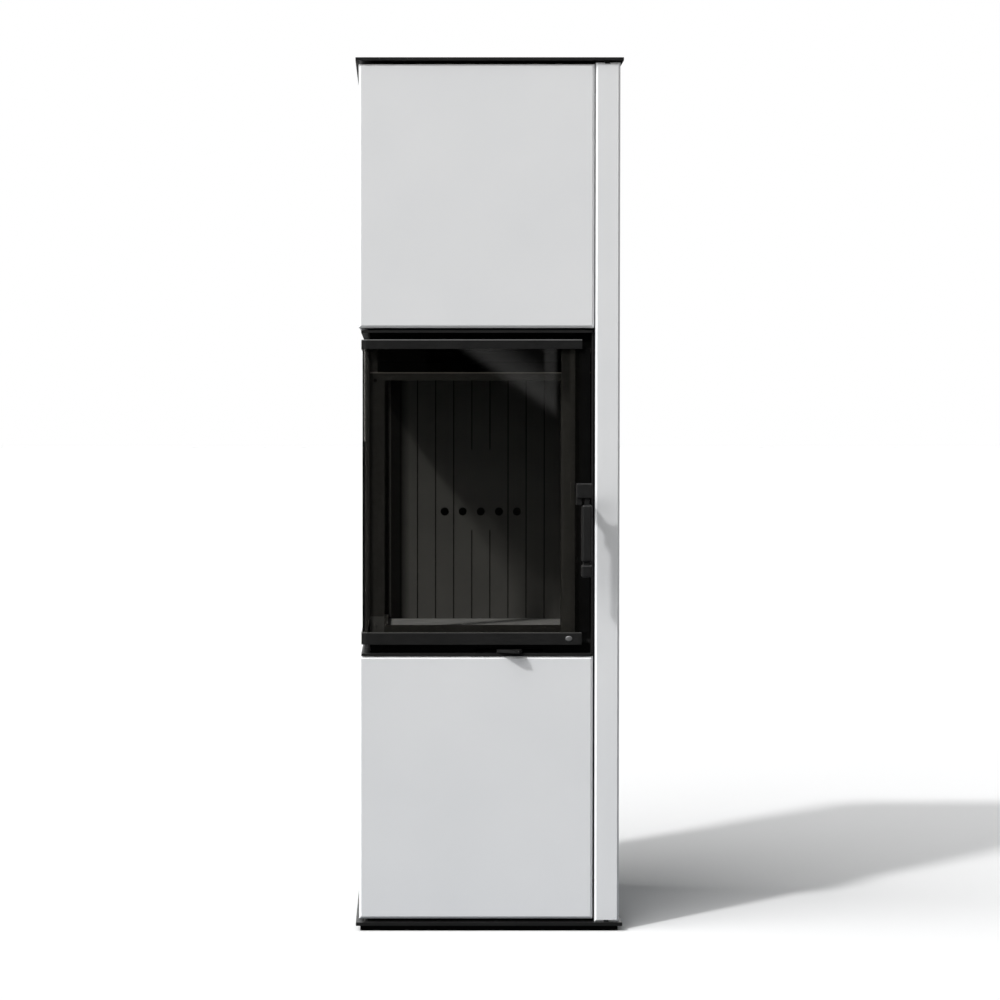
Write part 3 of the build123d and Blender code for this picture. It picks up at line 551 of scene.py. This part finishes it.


# %% [markdown]
# ## Black steel
# The plates, rails, handle and casing are sheet steel under matt heat-proof paint, which has a
# fine dry grain. The pale line along the top edge of each rail of the door is a painted highlight.
# What lies in the gaps behind the plates is painted near black as shade, and what lies in the
# firebox is sooted; both are nearly without gloss.

# %% Black steel


def dry_paint(name, thin, thick):
    """Matt heat-proof paint between two shades, with its dry grain."""
    paint = finish(name, thin, 0.5, Specular_IOR_Level=0.3, Coat_Weight=0.3, Coat_Roughness=0.25)
    blend_colours(paint, cloud(paint, 9.0), thin, thick)
    blend_roughness(paint, cloud(paint, 160.0, 4.0), 0.42, 0.58)
    relief(paint, (cloud(paint, 1400.0, 2.0, 0.2, 0.8), 0.00005, 0.55))
    return paint


black_paint = dry_paint("black_steel", (0.0090, 0.0090, 0.0090), (0.0118, 0.0116, 0.0114))
top_rail_paint = dry_paint("top_rail_paint", (0.0075, 0.0075, 0.0075), (0.0095, 0.0094, 0.0092))
low_rail_paint = dry_paint("bottom_rail_paint", (0.0090, 0.0090, 0.0088), (0.0118, 0.0116, 0.0112))

# Painted highlight: a pale line along the top edge of each door rail.
rail_highlight_depth = 0.0014
rail_highlight_over = 0.001
rail_highlight_soft = 0.0003
for paint, rail, rail_highlight_colour in (
    (top_rail_paint, "door_top_rail", (0.150, 0.150, 0.148)),
    (low_rail_paint, "door_bottom_rail", (0.042, 0.042, 0.040)),
):
    rail_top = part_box(rail)[1].z
    rail_highlight = height_mask(paint, rail_top - rail_highlight_depth, rail_top + rail_highlight_over, rail_highlight_soft)
    mix_over(paint, rail_highlight, rail_highlight_colour)

# Near black with almost no gloss: painted shade for parts in the gaps, soot for parts in the
# firebox.
soot_and_shade_steel = finish("soot_and_shade_steel", (0.003, 0.003, 0.003), 0.85, Specular_IOR_Level=0.07)
blend_colours(soot_and_shade_steel, cloud(soot_and_shade_steel, 30.0, 4.0),
              (0.0014, 0.0014, 0.0014), (0.0026, 0.0026, 0.0025))
relief(soot_and_shade_steel, (cloud(soot_and_shade_steel, 900.0, 2.0, 0.2, 0.8), 0.00005, 0.5))

# %% [markdown]
# ## Burnt steel
# Behind the glass the paint has been fired brown-grey in clouds, as far as the loop of the rope
# seal. Outside the loop, in the gaps above and below the door, it is darkened near black as painted
# shade. The frame is darker towards its top, a pale line along the lower edge of its air slot is a
# painted highlight, and a pale patch on its lower left corner is painted light.

# %% Burnt steel
seal_low, seal_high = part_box("door_seal")
burnt_thin = (0.0150, 0.0148, 0.0142)
burnt_thick = (0.0190, 0.0185, 0.0175)
# Outside the seal's loop, in the gaps above and below the door, the paint is darkened as painted
# shade.
gap_shade_outside_loop = 0.15
loop_edge = 0.004


def burnt_steel(name, thin=burnt_thin, thick=burnt_thick):
    """Paint fired brown-grey in clouds between two shades, with painted shade outside the seal's
    loop.
    """
    paint = finish(name, thin, 0.65, Specular_IOR_Level=0.2)
    blend_colours(paint, cloud(paint, 14.0, 5.0), thin, thick)
    shade_by(paint, height_mask(paint, seal_low.z, seal_high.z, loop_edge), gap_shade_outside_loop)
    blend_roughness(paint, cloud(paint, 90.0, 4.0), 0.6, 0.78)
    relief(paint, (cloud(paint, 900.0, 3.0, 0.2, 0.8), 0.00006, 0.6))
    return paint


dark_steel = burnt_steel("dark_steel")

frame_pale_z, frame_dark_z = 0.60, 0.94
frame_dark = 0.66
frame_steel = burnt_steel("frame_steel", (0.0200, 0.0198, 0.0190), (0.0240, 0.0236, 0.0226))
shade_by(frame_steel, ramp_along(frame_steel, "Z", frame_dark_z, frame_pale_z), frame_dark)

# Painted highlight: a pale line along the lower edge of the air slot.
slot_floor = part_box("baffle_slab")[0].z - 0.002
slot_highlight_low = slot_floor - 0.0016
slot_highlight_high = slot_floor + 0.0006
slot_highlight_soft = 0.0004
slot_highlight = height_mask(frame_steel, slot_highlight_low, slot_highlight_high, slot_highlight_soft)
mix_over(frame_steel, slot_highlight, (0.105, 0.102, 0.094))

# Painted light: a pale patch on the lower left corner of the frame.
painted_light_colour = (0.068, 0.068, 0.069)
painted_light_top = 0.5415
painted_light_reach = 0.0247
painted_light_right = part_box("front_frame")[0].x + painted_light_reach
painted_light_edge = 0.0008


def painted_light_height(material):
    """1 at the heights of the painted light on the lower left corner and 0 above and below it."""
    return height_mask(material, seal_low.z, painted_light_top, painted_light_edge)


painted_light_width = ramp_along(frame_steel, "X", painted_light_right, painted_light_right - painted_light_edge)
painted_light = combine(frame_steel.node_tree, "MULTIPLY", painted_light_height(frame_steel), painted_light_width)
mix_over(frame_steel, painted_light, painted_light_colour)
print("frame paler below", frame_pale_z, "bleached corner up to", painted_light_top)

# %% [markdown]
# ## Bare metal
# The small moving parts are bare steel with fine brush marks, the stud on the door is dull metal,
# and the grate is a raw casting.

# %% Bare metal
bare_steel = finish("bare_steel", (0.48, 0.48, 0.47), 0.32, Metallic=1.0)
brushed = cloud(bare_steel, 120.0, 3.0, stretch=(1, 1, 30))
blend_colours(bare_steel, brushed, (0.40, 0.40, 0.39), (0.56, 0.56, 0.55))
blend_roughness(bare_steel, cloud(bare_steel, 300.0, 2.0), 0.26, 0.40)
relief(bare_steel, (cloud(bare_steel, 2200.0, 2.0, stretch=(1, 1, 12)), 0.00002, 0.4))

stud_steel = finish("stud_steel", (0.22, 0.22, 0.22), 0.45, Metallic=0.6)
blend_colours(stud_steel, cloud(stud_steel, 900.0, 3.0), (0.19, 0.19, 0.19), (0.25, 0.25, 0.25))
relief(stud_steel, (cloud(stud_steel, 2600.0, 2.0), 0.00002, 0.4))

cast_iron = finish("grate_iron", (0.05, 0.048, 0.046), 0.7, Specular_IOR_Level=0.4)
blend_colours(cast_iron, cloud(cast_iron, 70.0, 4.0),
              (0.035, 0.033, 0.031), (0.075, 0.07, 0.065))
relief(cast_iron, (cloud(cast_iron, 420.0, 4.0, 0.2, 0.8), 0.0003, 0.7))

# %% [markdown]
# ## Fireboard, stone and rope
# The lining is pressed mineral board, darker towards its top. The fireback's groove floors and its
# left edge are darkened as painted shade, and the board in the rear left corner is painted nearly
# black as shade, with a painted highlight along one edge. The hearth is paler, since ash lies on
# it. The heat store behind the upper tile is cast block, and the door seal is knitted glass-fibre
# rope.

# %% Fireboard
board_low, board_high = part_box("fireback")
fireboard = finish("fire_board", (0.12, 0.12, 0.12), 0.9, Specular_IOR_Level=0.2)
blend_colours(fireboard, cloud(fireboard, 9.0, 4.0), (0.116, 0.116, 0.117), (0.130, 0.130, 0.130))
shade_by(fireboard, ramp_along(fireboard, "Z", board_high.z, board_low.z), 0.42)

groove_floor_y = board_low.y + 0.0025
groove_rim_y = board_low.y + 0.0008
left_shadow_x = board_low.x + 0.016
grooved_board = fireboard.copy()
grooved_board.name = "grooved_board"
# Painted shade: the groove floors and a band along the left edge of the fireback are darkened.
shade_by(grooved_board, ramp_along(grooved_board, "Y", groove_floor_y, groove_rim_y), 0.15)
shade_by(grooved_board, ramp_along(grooved_board, "X", board_low.x, left_shadow_x), 0.12)
for board in (fireboard, grooved_board):
    relief(board, (cloud(board, 55.0, 3.0), 0.0003, 0.25),
           (cloud(board, 600.0, 3.0, 0.2, 0.8), 0.0001, 0.4))

lining_low, lining_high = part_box("rear_left_lining")
lining_shadow_x = lining_high.x - 0.002
lining_unshadowed_x = lining_high.x - 0.0045
lit_edge_x = lining_low.x + 0.0035
# The rear left board is painted near black as shade, darker still at its right end as a painted
# shadow, with a painted highlight along its left edge.
corner_shade_board = finish("corner_shade_board", (0.006, 0.006, 0.006), 0.9, Specular_IOR_Level=0.1)
blend_colours(corner_shade_board, cloud(corner_shade_board, 20.0, 4.0),
              (0.0062, 0.0062, 0.0062), (0.0078, 0.0078, 0.0078))
shade_by(corner_shade_board, ramp_along(corner_shade_board, "X", lining_shadow_x, lining_unshadowed_x), 0.15)
corner_edge_highlight = ramp_along(corner_shade_board, "X", lit_edge_x + 0.0017, lit_edge_x)
mix_over(corner_shade_board, corner_edge_highlight, (0.045, 0.045, 0.045))
relief(corner_shade_board, (cloud(corner_shade_board, 600.0, 3.0, 0.2, 0.8), 0.0001, 0.4))

# %% Hearth, stone and rope
hearth_board = finish("hearth_board", (0.29, 0.29, 0.305), 0.95, Specular_IOR_Level=0.2)
blend_colours(hearth_board, cloud(hearth_board, 30.0, 5.0),
              (0.265, 0.27, 0.285), (0.325, 0.33, 0.345))
relief(hearth_board, (cloud(hearth_board, 300.0, 4.0, 0.2, 0.8), 0.0004, 0.6))

stone = finish("storage_stone", (0.38, 0.36, 0.34), 0.9, Specular_IOR_Level=0.2)
blend_colours(stone, cloud(stone, 40.0, 5.0), (0.33, 0.31, 0.29), (0.42, 0.40, 0.37))
relief(stone, (cloud(stone, 250.0, 5.0, 0.2, 0.8), 0.0006, 0.7))

rope = finish("rope_seal", (0.012, 0.012, 0.012), 0.95, Specular_IOR_Level=0.1)
blend_colours(rope, cloud(rope, 260.0, 4.0), (0.008, 0.008, 0.008), (0.014, 0.014, 0.0135))

# %% [markdown]
# ## Door glass
# The door is one bent pane of clear ceramic glass with a faint brown cast. Light from a lamp has
# to pass it to reach the firebox, which real glass does by bending and a shader does by letting
# shadow rays straight through. Along the pane light has a long way through the glass and comes
# out dark, as on a real cut edge, so the glass also absorbs a little per metre.

# %% Door glass
glass_cast = (0.52, 0.46, 0.36, 1.0)
glass_density = 25.0
glass = finish("door_glass", (0.93, 0.925, 0.90), 0.0, Transmission_Weight=1.0, IOR=1.5)
glass_tree = glass.node_tree
glass_out = glass_tree.nodes["Material Output"]
clear = add_node(glass_tree, "BsdfTransparent", Color=(0.90, 0.895, 0.87, 1.0))
glass_mix = add_node(
    glass_tree, "MixShader", any_ray(glass_tree, "Is Shadow Ray", "Is Diffuse Ray"),
    glass_tree.nodes["Principled BSDF"].outputs[0], clear.outputs[0])
fill(glass_tree, glass_out.inputs["Surface"], glass_mix.outputs[0])
cast = add_node(glass_tree, "VolumeAbsorption", Color=glass_cast, Density=glass_density)
fill(glass_tree, glass_out.inputs["Volume"], cast.outputs[0])

# %% [markdown]
# ## Dressing the frame
# Every node of the frame takes the finish of its material slot. A few nodes have a finish of
# their own: the frame, the rails, the boards, and the near-black steel that is painted shade in
# the gaps and soot in the firebox.

# %% Give every node its finish
by_slot = {
    "glazed_tile": glaze,
    "black_steel": black_paint,
    "dark_steel": dark_steel,
    "bare_steel": bare_steel,
    "door_glass": glass,
    "fire_board": fireboard,
    "grate_iron": cast_iron,
    "storage_stone": stone,
    "rope_seal": rope,
}
by_node = {
    "hearth_slab": hearth_board,
    "rear_left_lining": corner_shade_board,
    "fireback": grooved_board,
    "front_frame": frame_steel,
    "door_top_rail": top_rail_paint,
    "door_bottom_rail": low_rail_paint,
}
# Near-black steel: painted shade for the parts in the gaps, soot for the firebox top and baffle.
for name in ("door_right_stile", "upper_front_sheet", "left_sheets", "firebox_top", "baffle_slab",
             "air_slide", "plinth_frame"):
    by_node[name] = soot_and_shade_steel


def dress(piece, material):
    """Give a piece this material on all its faces."""
    if not piece.material_slots:
        piece.data.materials.append(material)
    for slot in piece.material_slots:
        slot.material = material


for part in frame["record"]["subparts"]:
    dress(nodes[part["node"]], by_node.get(part["node"], by_slot[part["material_slot"]]))
print("finishes", sorted({s.material.name for n in nodes.values() for s in n.material_slots}))

# %% [markdown]
# ## Screws of the frame
# The frame behind the glass is held by four small socket screws, blackened by the heat. Where the
# painted light of the frame's lower left corner falls, they are painted pale too. A head is a
# profile turned round its axis: p(s, a) = centre + r(s) (cos a, 0, sin a) - d(s) y. The socket in
# its middle is a hexagon, so there r also depends on a: r = f / cos(a modulo 60 degrees - 30
# degrees).

# %% Frame screws
socket_share = 0.42


def socket_head(centre, radius, height, facing, columns=24):
    """Turned head with a hexagon socket, standing on its centre and looking along +Y or -Y."""
    angle = np.arange(columns) * (2 * np.pi / columns)
    wedge = np.mod(angle, np.pi / 3) - np.pi / 6
    hexagon = socket_share * radius * math.cos(math.pi / 6) / np.cos(wedge)
    turned = radius * np.array([1.0, 1.0, 0.93, 0.74])[:, None] * np.ones(columns)
    radii = np.concatenate([turned, [hexagon, hexagon]])
    depths = height * np.array([0.0, 0.55, 0.82, 1.0, 1.0, 0.35])
    x = centre[0] + radii * np.cos(angle)
    z = centre[2] + radii * np.sin(angle)
    y = centre[1] + facing * depths[:, None] + 0 * radii
    return patch(np.stack([x, y, z], -1), lids=True)


screw_low, screw_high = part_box("frame_screws")
screw_radius = 0.003
screw_places = [
    (x, screw_high.y, z)
    for x in (screw_low.x + screw_radius, screw_high.x - screw_radius)
    for z in (screw_low.z + screw_radius, screw_high.z - screw_radius)
]
frame_screw_heads = make_piece("frame_screw_heads", *[
    socket_head(place, screw_radius, screw_high.y - screw_low.y, -1) for place in screw_places])
smooth(frame_screw_heads)
screw_steel = soot_and_shade_steel.copy()
screw_steel.name = "screw_steel"
# The painted light of the frame's lower left corner lies on the screws there too.
mix_over(screw_steel, painted_light_height(screw_steel), painted_light_colour)
dress(frame_screw_heads, screw_steel)
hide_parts("frame_screws")
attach(frame_screw_heads, "stove_body")
print("screws", [[round(v, 4) for v in place] for place in screw_places])

# %% [markdown]
# ## Stud on the door
# The bottom rail carries one plain oval stud. It is a low dome over an ellipse, on a short upright
# rim: with r from 1 at the rim to 0 at the middle and the height h,
# p(r, a) = (r A cos a, -h (0.35 + 0.65 (1 - r^4)), r B sin a), so it is nearly flat on top and
# drops at the rim.

# %% Door stud
stud_low, stud_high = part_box("door_stud")
stud_middle = (stud_low + stud_high) / 2
stud_half = (stud_high - stud_low) / 2
stud_rim = 0.35
share = np.array([1.0, 1.0, 0.97, 0.92, 0.84, 0.7, 0.5, 0.25, 0.05])[:, None]
turn = (np.arange(40) * (2 * np.pi / 40))[None, :]
lift = np.concatenate([[0.0], stud_rim + (1 - stud_rim) * (1 - share[1:, 0] ** 4)])[:, None]
dome = np.stack([
    stud_middle.x + stud_half.x * share * np.cos(turn),
    stud_high.y - 2 * stud_half.y * lift + 0 * turn,
    stud_middle.z + stud_half.z * share * np.sin(turn),
], -1)
stud = make_piece("oval_stud", patch(dome, lids=True))
smooth(stud)
dress(stud, stud_steel)
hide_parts("door_stud")
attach(stud, "fire_door")
print("stud", [round(1000 * v, 1) for v in 2 * stud_half])

# %% [markdown]
# ## Seal strip
# Up the right side the rope seal lies on a thin steel strip behind the glass. The strip is flat,
# with its two upright edges hemmed by half circles, and its upper left part is darkened as a
# painted shadow.

# %% Seal strip
stile_low, stile_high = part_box("door_right_stile")
strip_left = screw_high.x - 0.0065
strip_right = stile_low.x
strip_face = stile_low.y + 0.0001
strip_gauge = 0.0006
strip_unshaded_x = strip_left + 0.017
strip_unshaded_z = 0.905
hem = strip_gauge / 2
bow = np.pi / 2 + np.pi * np.linspace(0.0, 1.0, 7)
left_hem = [strip_left + hem + hem * np.cos(bow), strip_face + hem - hem * np.sin(bow)]
right_hem = [strip_right - hem - hem * np.cos(bow), strip_face + hem + hem * np.sin(bow)]
strip_profile = np.concatenate([left_hem, right_hem], 1).T
seal_strip = make_piece(
    "seal_strip", upright(strip_profile, np.linspace(stile_low.z, stile_high.z, 25)))
smooth(seal_strip)

strip_steel = burnt_steel("strip_steel")
# Painted shadow: the strip is darkened above and left of these lines.
strip_unshaded = combine(
    strip_steel.node_tree, "MAXIMUM",
    ramp_along(strip_steel, "X", strip_unshaded_x - 0.004, strip_unshaded_x),
    ramp_along(strip_steel, "Z", strip_unshaded_z + 0.030, strip_unshaded_z))
shade_by(strip_steel, strip_unshaded, 0.25)
dress(seal_strip, strip_steel)
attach(seal_strip, "fire_door")
print("seal strip", round(1000 * (strip_right - strip_left), 1), "mm wide")

# %% [markdown]
# ## Path of the rope
# A knitted glass-fibre rope closes the gap between the door and its frame. It runs as one loop on
# the back of the door: along the top and bottom rails round the bend, up the right side on the
# seal strip, and up the rear. Its path is a closed polygon of six corners, each rounded by an arc:
# with b and f the directions back and ahead, p(t) = c + r (b + f) - r (f cos t + b sin t).

# %% Path of the rope


def rounded_path(corners, radii, step):
    """Even points along a closed polygon whose corners are arcs, and their distances along it."""
    corners = np.array(corners)
    points = []
    for index, (corner, radius) in enumerate(zip(corners, radii)):
        back = corners[index - 1] - corner
        ahead = corners[(index + 1) % len(corners)] - corner
        back /= np.linalg.norm(back)
        ahead /= np.linalg.norm(ahead)
        turn = np.linspace(0, np.pi / 2, 9)[:, None]
        centre = corner + radius * (back + ahead)
        points.append(centre - radius * (ahead * np.cos(turn) + back * np.sin(turn)))
    loop = np.concatenate(points + [points[0][:1]])
    steps = np.linalg.norm(np.diff(loop, axis=0), axis=1)
    length = np.concatenate([[0], np.cumsum(steps)])
    even = np.linspace(0, length[-1], int(length[-1] / step), endpoint=False)
    return np.stack([np.interp(even, length, loop[:, axis]) for axis in range(3)], -1), even


frame_gap = 0.0047
frame_clearance = 0.0003
corner_radius = 0.006
bend_radius = 0.005
rope_step = 0.0025
rope_x = seal_low.x + frame_gap / 2
rope_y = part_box("front_frame")[0].y - frame_clearance - frame_gap / 2
rope_right = seal_high.x - 0.003
rope_rear = seal_high.y - 0.003
rope_low = seal_low.z + 0.004
rope_top = seal_high.z - 0.004
rope_corners = [
    (rope_right, rope_y, rope_low), (rope_right, rope_y, rope_top), (rope_x, rope_y, rope_top),
    (rope_x, rope_rear, rope_top), (rope_x, rope_rear, rope_low), (rope_x, rope_y, rope_low),
]
rope_radii = [corner_radius, corner_radius, bend_radius] * 2
rope_path, rope_along = rounded_path(rope_corners, rope_radii, rope_step)
print("rope", round(rope_along[-1], 3), "m,", len(rope_path), "rows")

# %% [markdown]
# ## Rope with its knit
# The rope is a pressed oval carried along the path, p(i, b) = path(i) + h C(b) d + w S(b) v, with
# C and S the cosine and sine raised to 0.8, which squares the oval a little. The depth d points
# away from the frame and the width v runs across. Along the seal strip there is more room, so
# the rope stands deeper there. The UV map holds metres along and turns around, for the knit.

# %% Rope piece
on_glass_run = 0.010
on_glass_start = 0.003
on_glass_lift = 0.0016
on_glass_deeper = 0.0015
lying_half_width = 0.0039
upright_less = 0.0010
right_run = np.clip((rope_path[:, 0] - (rope_right - on_glass_run)) / on_glass_run, 0, 1)
from_low = np.clip((rope_path[:, 2] - rope_low - on_glass_start) / on_glass_run, 0, 1)
from_top = np.clip((rope_top - on_glass_start - rope_path[:, 2]) / on_glass_run, 0, 1)
rope_ends = from_low * from_top
on_glass = right_run * rope_ends**2 * (3 - 2 * rope_ends)
rope_path[:, 1] -= on_glass_lift * on_glass

bend_centre = np.array([rope_x + bend_radius, rope_y + bend_radius])
outward = np.minimum(rope_path[:, :2] - bend_centre, 0.0)
level = -outward / np.linalg.norm(outward, axis=1, keepdims=True)
depth = np.concatenate([level, 0 * outward[:, :1]], 1)
along = np.roll(rope_path, -1, axis=0) - np.roll(rope_path, 1, axis=0)
along /= np.linalg.norm(along, axis=1, keepdims=True)
width = np.cross(along, depth)
width /= np.linalg.norm(width, axis=1, keepdims=True)
depth = np.cross(width, along)

section = np.arange(20) * (2 * np.pi / 20)
depth_share = np.sign(np.cos(section)) * np.abs(np.cos(section)) ** 0.8
width_share = np.sign(np.sin(section)) * np.abs(np.sin(section)) ** 0.8
half_depth = (frame_gap / 2 + on_glass_deeper * on_glass)[:, None, None]
half_width = (lying_half_width - upright_less * np.abs(along[:, 2]))[:, None, None]
rope_points = (rope_path[:, None, :]
               + half_depth * depth_share[None, :, None] * depth[:, None, :]
               + half_width * width_share[None, :, None] * width[:, None, :])
knitted_seal = make_piece("knitted_seal", patch(rope_points, wrap_rows=True))
smooth(knitted_seal, math.radians(60))


def lay_out(piece, rows, columns, length):
    """UV map of a closed tube: metres along in U, turns around in V, read past the end on seams."""
    corners = np.empty(len(piece.data.loops), dtype=np.int32)
    piece.data.loops.foreach_get("vertex_index", corners)
    row = (corners // columns).reshape(-1, 4).astype(float)
    column = (corners % columns).reshape(-1, 4).astype(float)
    row[(np.ptp(row, axis=1) > 1)[:, None] & (row == 0)] = rows
    column[(np.ptp(column, axis=1) > 1)[:, None] & (column == 0)] = columns
    uv = np.stack([row * (length / rows), column / columns], -1)
    piece.data.uv_layers.new(name="knit").data.foreach_set("uv", uv.ravel())


lay_out(knitted_seal, len(rope_path), len(section), rope_along[-1] + rope_along[1])
print("rope faces", len(knitted_seal.data.polygons))

# %% Knit of the rope
ribs_per_metre = 420.0
ribs_around = 3.0


def slanted_ribs(material, per_metre, around):
    """Ribs on the UV map: 1/2 + 1/2 sin(2 pi (per_metre U + around V))."""
    tree = material.node_tree
    layout = add_node(tree, "UVMap")
    layout.uv_map = "knit"
    turns = (2 * math.pi * per_metre, 2 * math.pi * around, 0.0)
    count = add_node(tree, "VectorMath", layout.outputs["UV"], turns, operation="DOT_PRODUCT")
    wave = add_node(tree, "Math", count.outputs["Value"], operation="SINE").outputs[0]
    return add_node(tree, "MapRange", Value=wave, From_Min=-1.0).outputs["Result"]


relief(rope, (slanted_ribs(rope, ribs_per_metre, ribs_around), 0.0006, 0.8),
       (slanted_ribs(rope, ribs_per_metre, -ribs_around), 0.0006, 0.8),
       (cloud(rope, 2600.0, 3.0, 0.2, 0.8), 0.0001, 0.5))
dress(knitted_seal, rope)
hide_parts("door_seal")
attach(knitted_seal, "fire_door")

# %% [markdown]
# ## Lining of the bend
# Where the glass bends, a thin dark strip of steel lines it from rail to rail, so no light slips
# past the corner of the frame. Its section is a quarter of a circle with a short leg at each end:
# the middle line is c + r (cos a, sin a) with a from 180 to 270 degrees, and its two edges are
# hemmed by half circles.

# %% Bend lining
pane_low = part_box("door_glass")[0]
pane_gauge = 0.004
bend_outer = 0.008
lining_gap = 0.0004
lining_gauge = 0.0006
lining_leg = 0.0012
lining_hem = lining_gauge / 2
lining_radius = bend_outer - pane_gauge - lining_gap - lining_hem
bend_turn = np.radians(np.linspace(180.0, 270.0, 13))
arc = np.stack([np.cos(bend_turn), np.sin(bend_turn)], -1)
outwards = np.concatenate([[[-1.0, 0.0]], arc, [[0.0, -1.0]]])
lining_centre = np.array([pane_low.x + bend_outer, pane_low.y + bend_outer])
middle_line = lining_centre + lining_radius * outwards
middle_line[0, 1] += lining_leg
middle_line[-1, 0] += lining_leg
hem_turn = np.pi * np.linspace(0.0, 1.0, 7)[1:-1]
rear_hem = middle_line[0] + lining_hem * np.stack([np.cos(hem_turn), np.sin(hem_turn)], -1)
front_hem = middle_line[-1] + lining_hem * np.stack([np.sin(hem_turn), -np.cos(hem_turn)], -1)
lining_profile = np.concatenate([
    middle_line + lining_hem * outwards, front_hem,
    (middle_line - lining_hem * outwards)[::-1], rear_hem,
])
lining_z = np.linspace(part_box("door_bottom_rail")[1].z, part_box("door_top_rail")[0].z, 25)
bend_lining = make_piece("bend_lining", upright(lining_profile, lining_z))
smooth(bend_lining)
dress(bend_lining, black_paint)
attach(bend_lining, "fire_door")
print("bend lining", len(lining_profile), "points round, z", lining_z[[0, -1]].round(4).tolist())

# %% [markdown]
# ## Back of the stove
# The rear panel is held by a row of small socket screws down each side. The two collars have a
# rolled bead, a low swelling that stiffens the rim and holds the pipe clamp: the profile
# r(y) = R + h cos^2(pi y / w) turned round the collar's axis, with y from -w/2 to w/2.

# %% Rear screws
panel_low, panel_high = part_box("rear_panel")
rear_screw_radius = 0.004
rear_screw_height = 0.0022
rear_screw_inset = 0.010
rear_row_inset = 0.03
rear_rows = np.linspace(panel_low.z + rear_row_inset, panel_high.z - rear_row_inset, 9)
rear_sides = (panel_low.x + rear_screw_inset, panel_high.x - rear_screw_inset)
rear_screws = make_piece("rear_screws", *[
    socket_head((x, panel_high.y, z), rear_screw_radius, rear_screw_height, 1)
    for x in rear_sides for z in rear_rows])
smooth(rear_screws)
dress(rear_screws, black_paint)
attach(rear_screws, "stove_body")
print("rear screws", 2 * len(rear_rows))

# %% Beads of the collars
bead_width = 0.007
bead_height = 0.0013
bead_setback = 0.014
bead_sunk = 0.0004


def bead(low, high):
    """Ring of a rolled bead on a collar with this box, closed against the collar's skin."""
    radius = (high.x - low.x) / 2
    centre = (low + high) / 2
    y = np.linspace(-bead_width / 2, bead_width / 2, 11)
    swell = radius + bead_height * np.cos(np.pi * y / bead_width) ** 2
    y = np.concatenate([y, y[::-1]])
    r = np.concatenate([swell, np.full(11, radius - bead_sunk)])
    turn = np.arange(96) * (2 * np.pi / 96)
    ring = np.stack([
        centre.x + r[:, None] * np.cos(turn),
        high.y - bead_setback + y[:, None] + 0 * turn,
        centre.z + r[:, None] * np.sin(turn),
    ], -1)
    return patch(ring, wrap_rows=True)


collar_beads = make_piece(
    "collar_beads", *[bead(*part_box(name)) for name in ("flue_spigot", "air_spigot")])
smooth(collar_beads, math.radians(50))
dress(collar_beads, black_paint)
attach(collar_beads, "stove_body")
print("beads", len(collar_beads.data.polygons), "faces")

# %% [markdown]
# ## Finish the lesson
# Dressing never changes the size of the stove. Last, the view layer is brought up to date, so
# every piece stands where it was placed.

# %% Update the scene
bpy.context.view_layer.update()
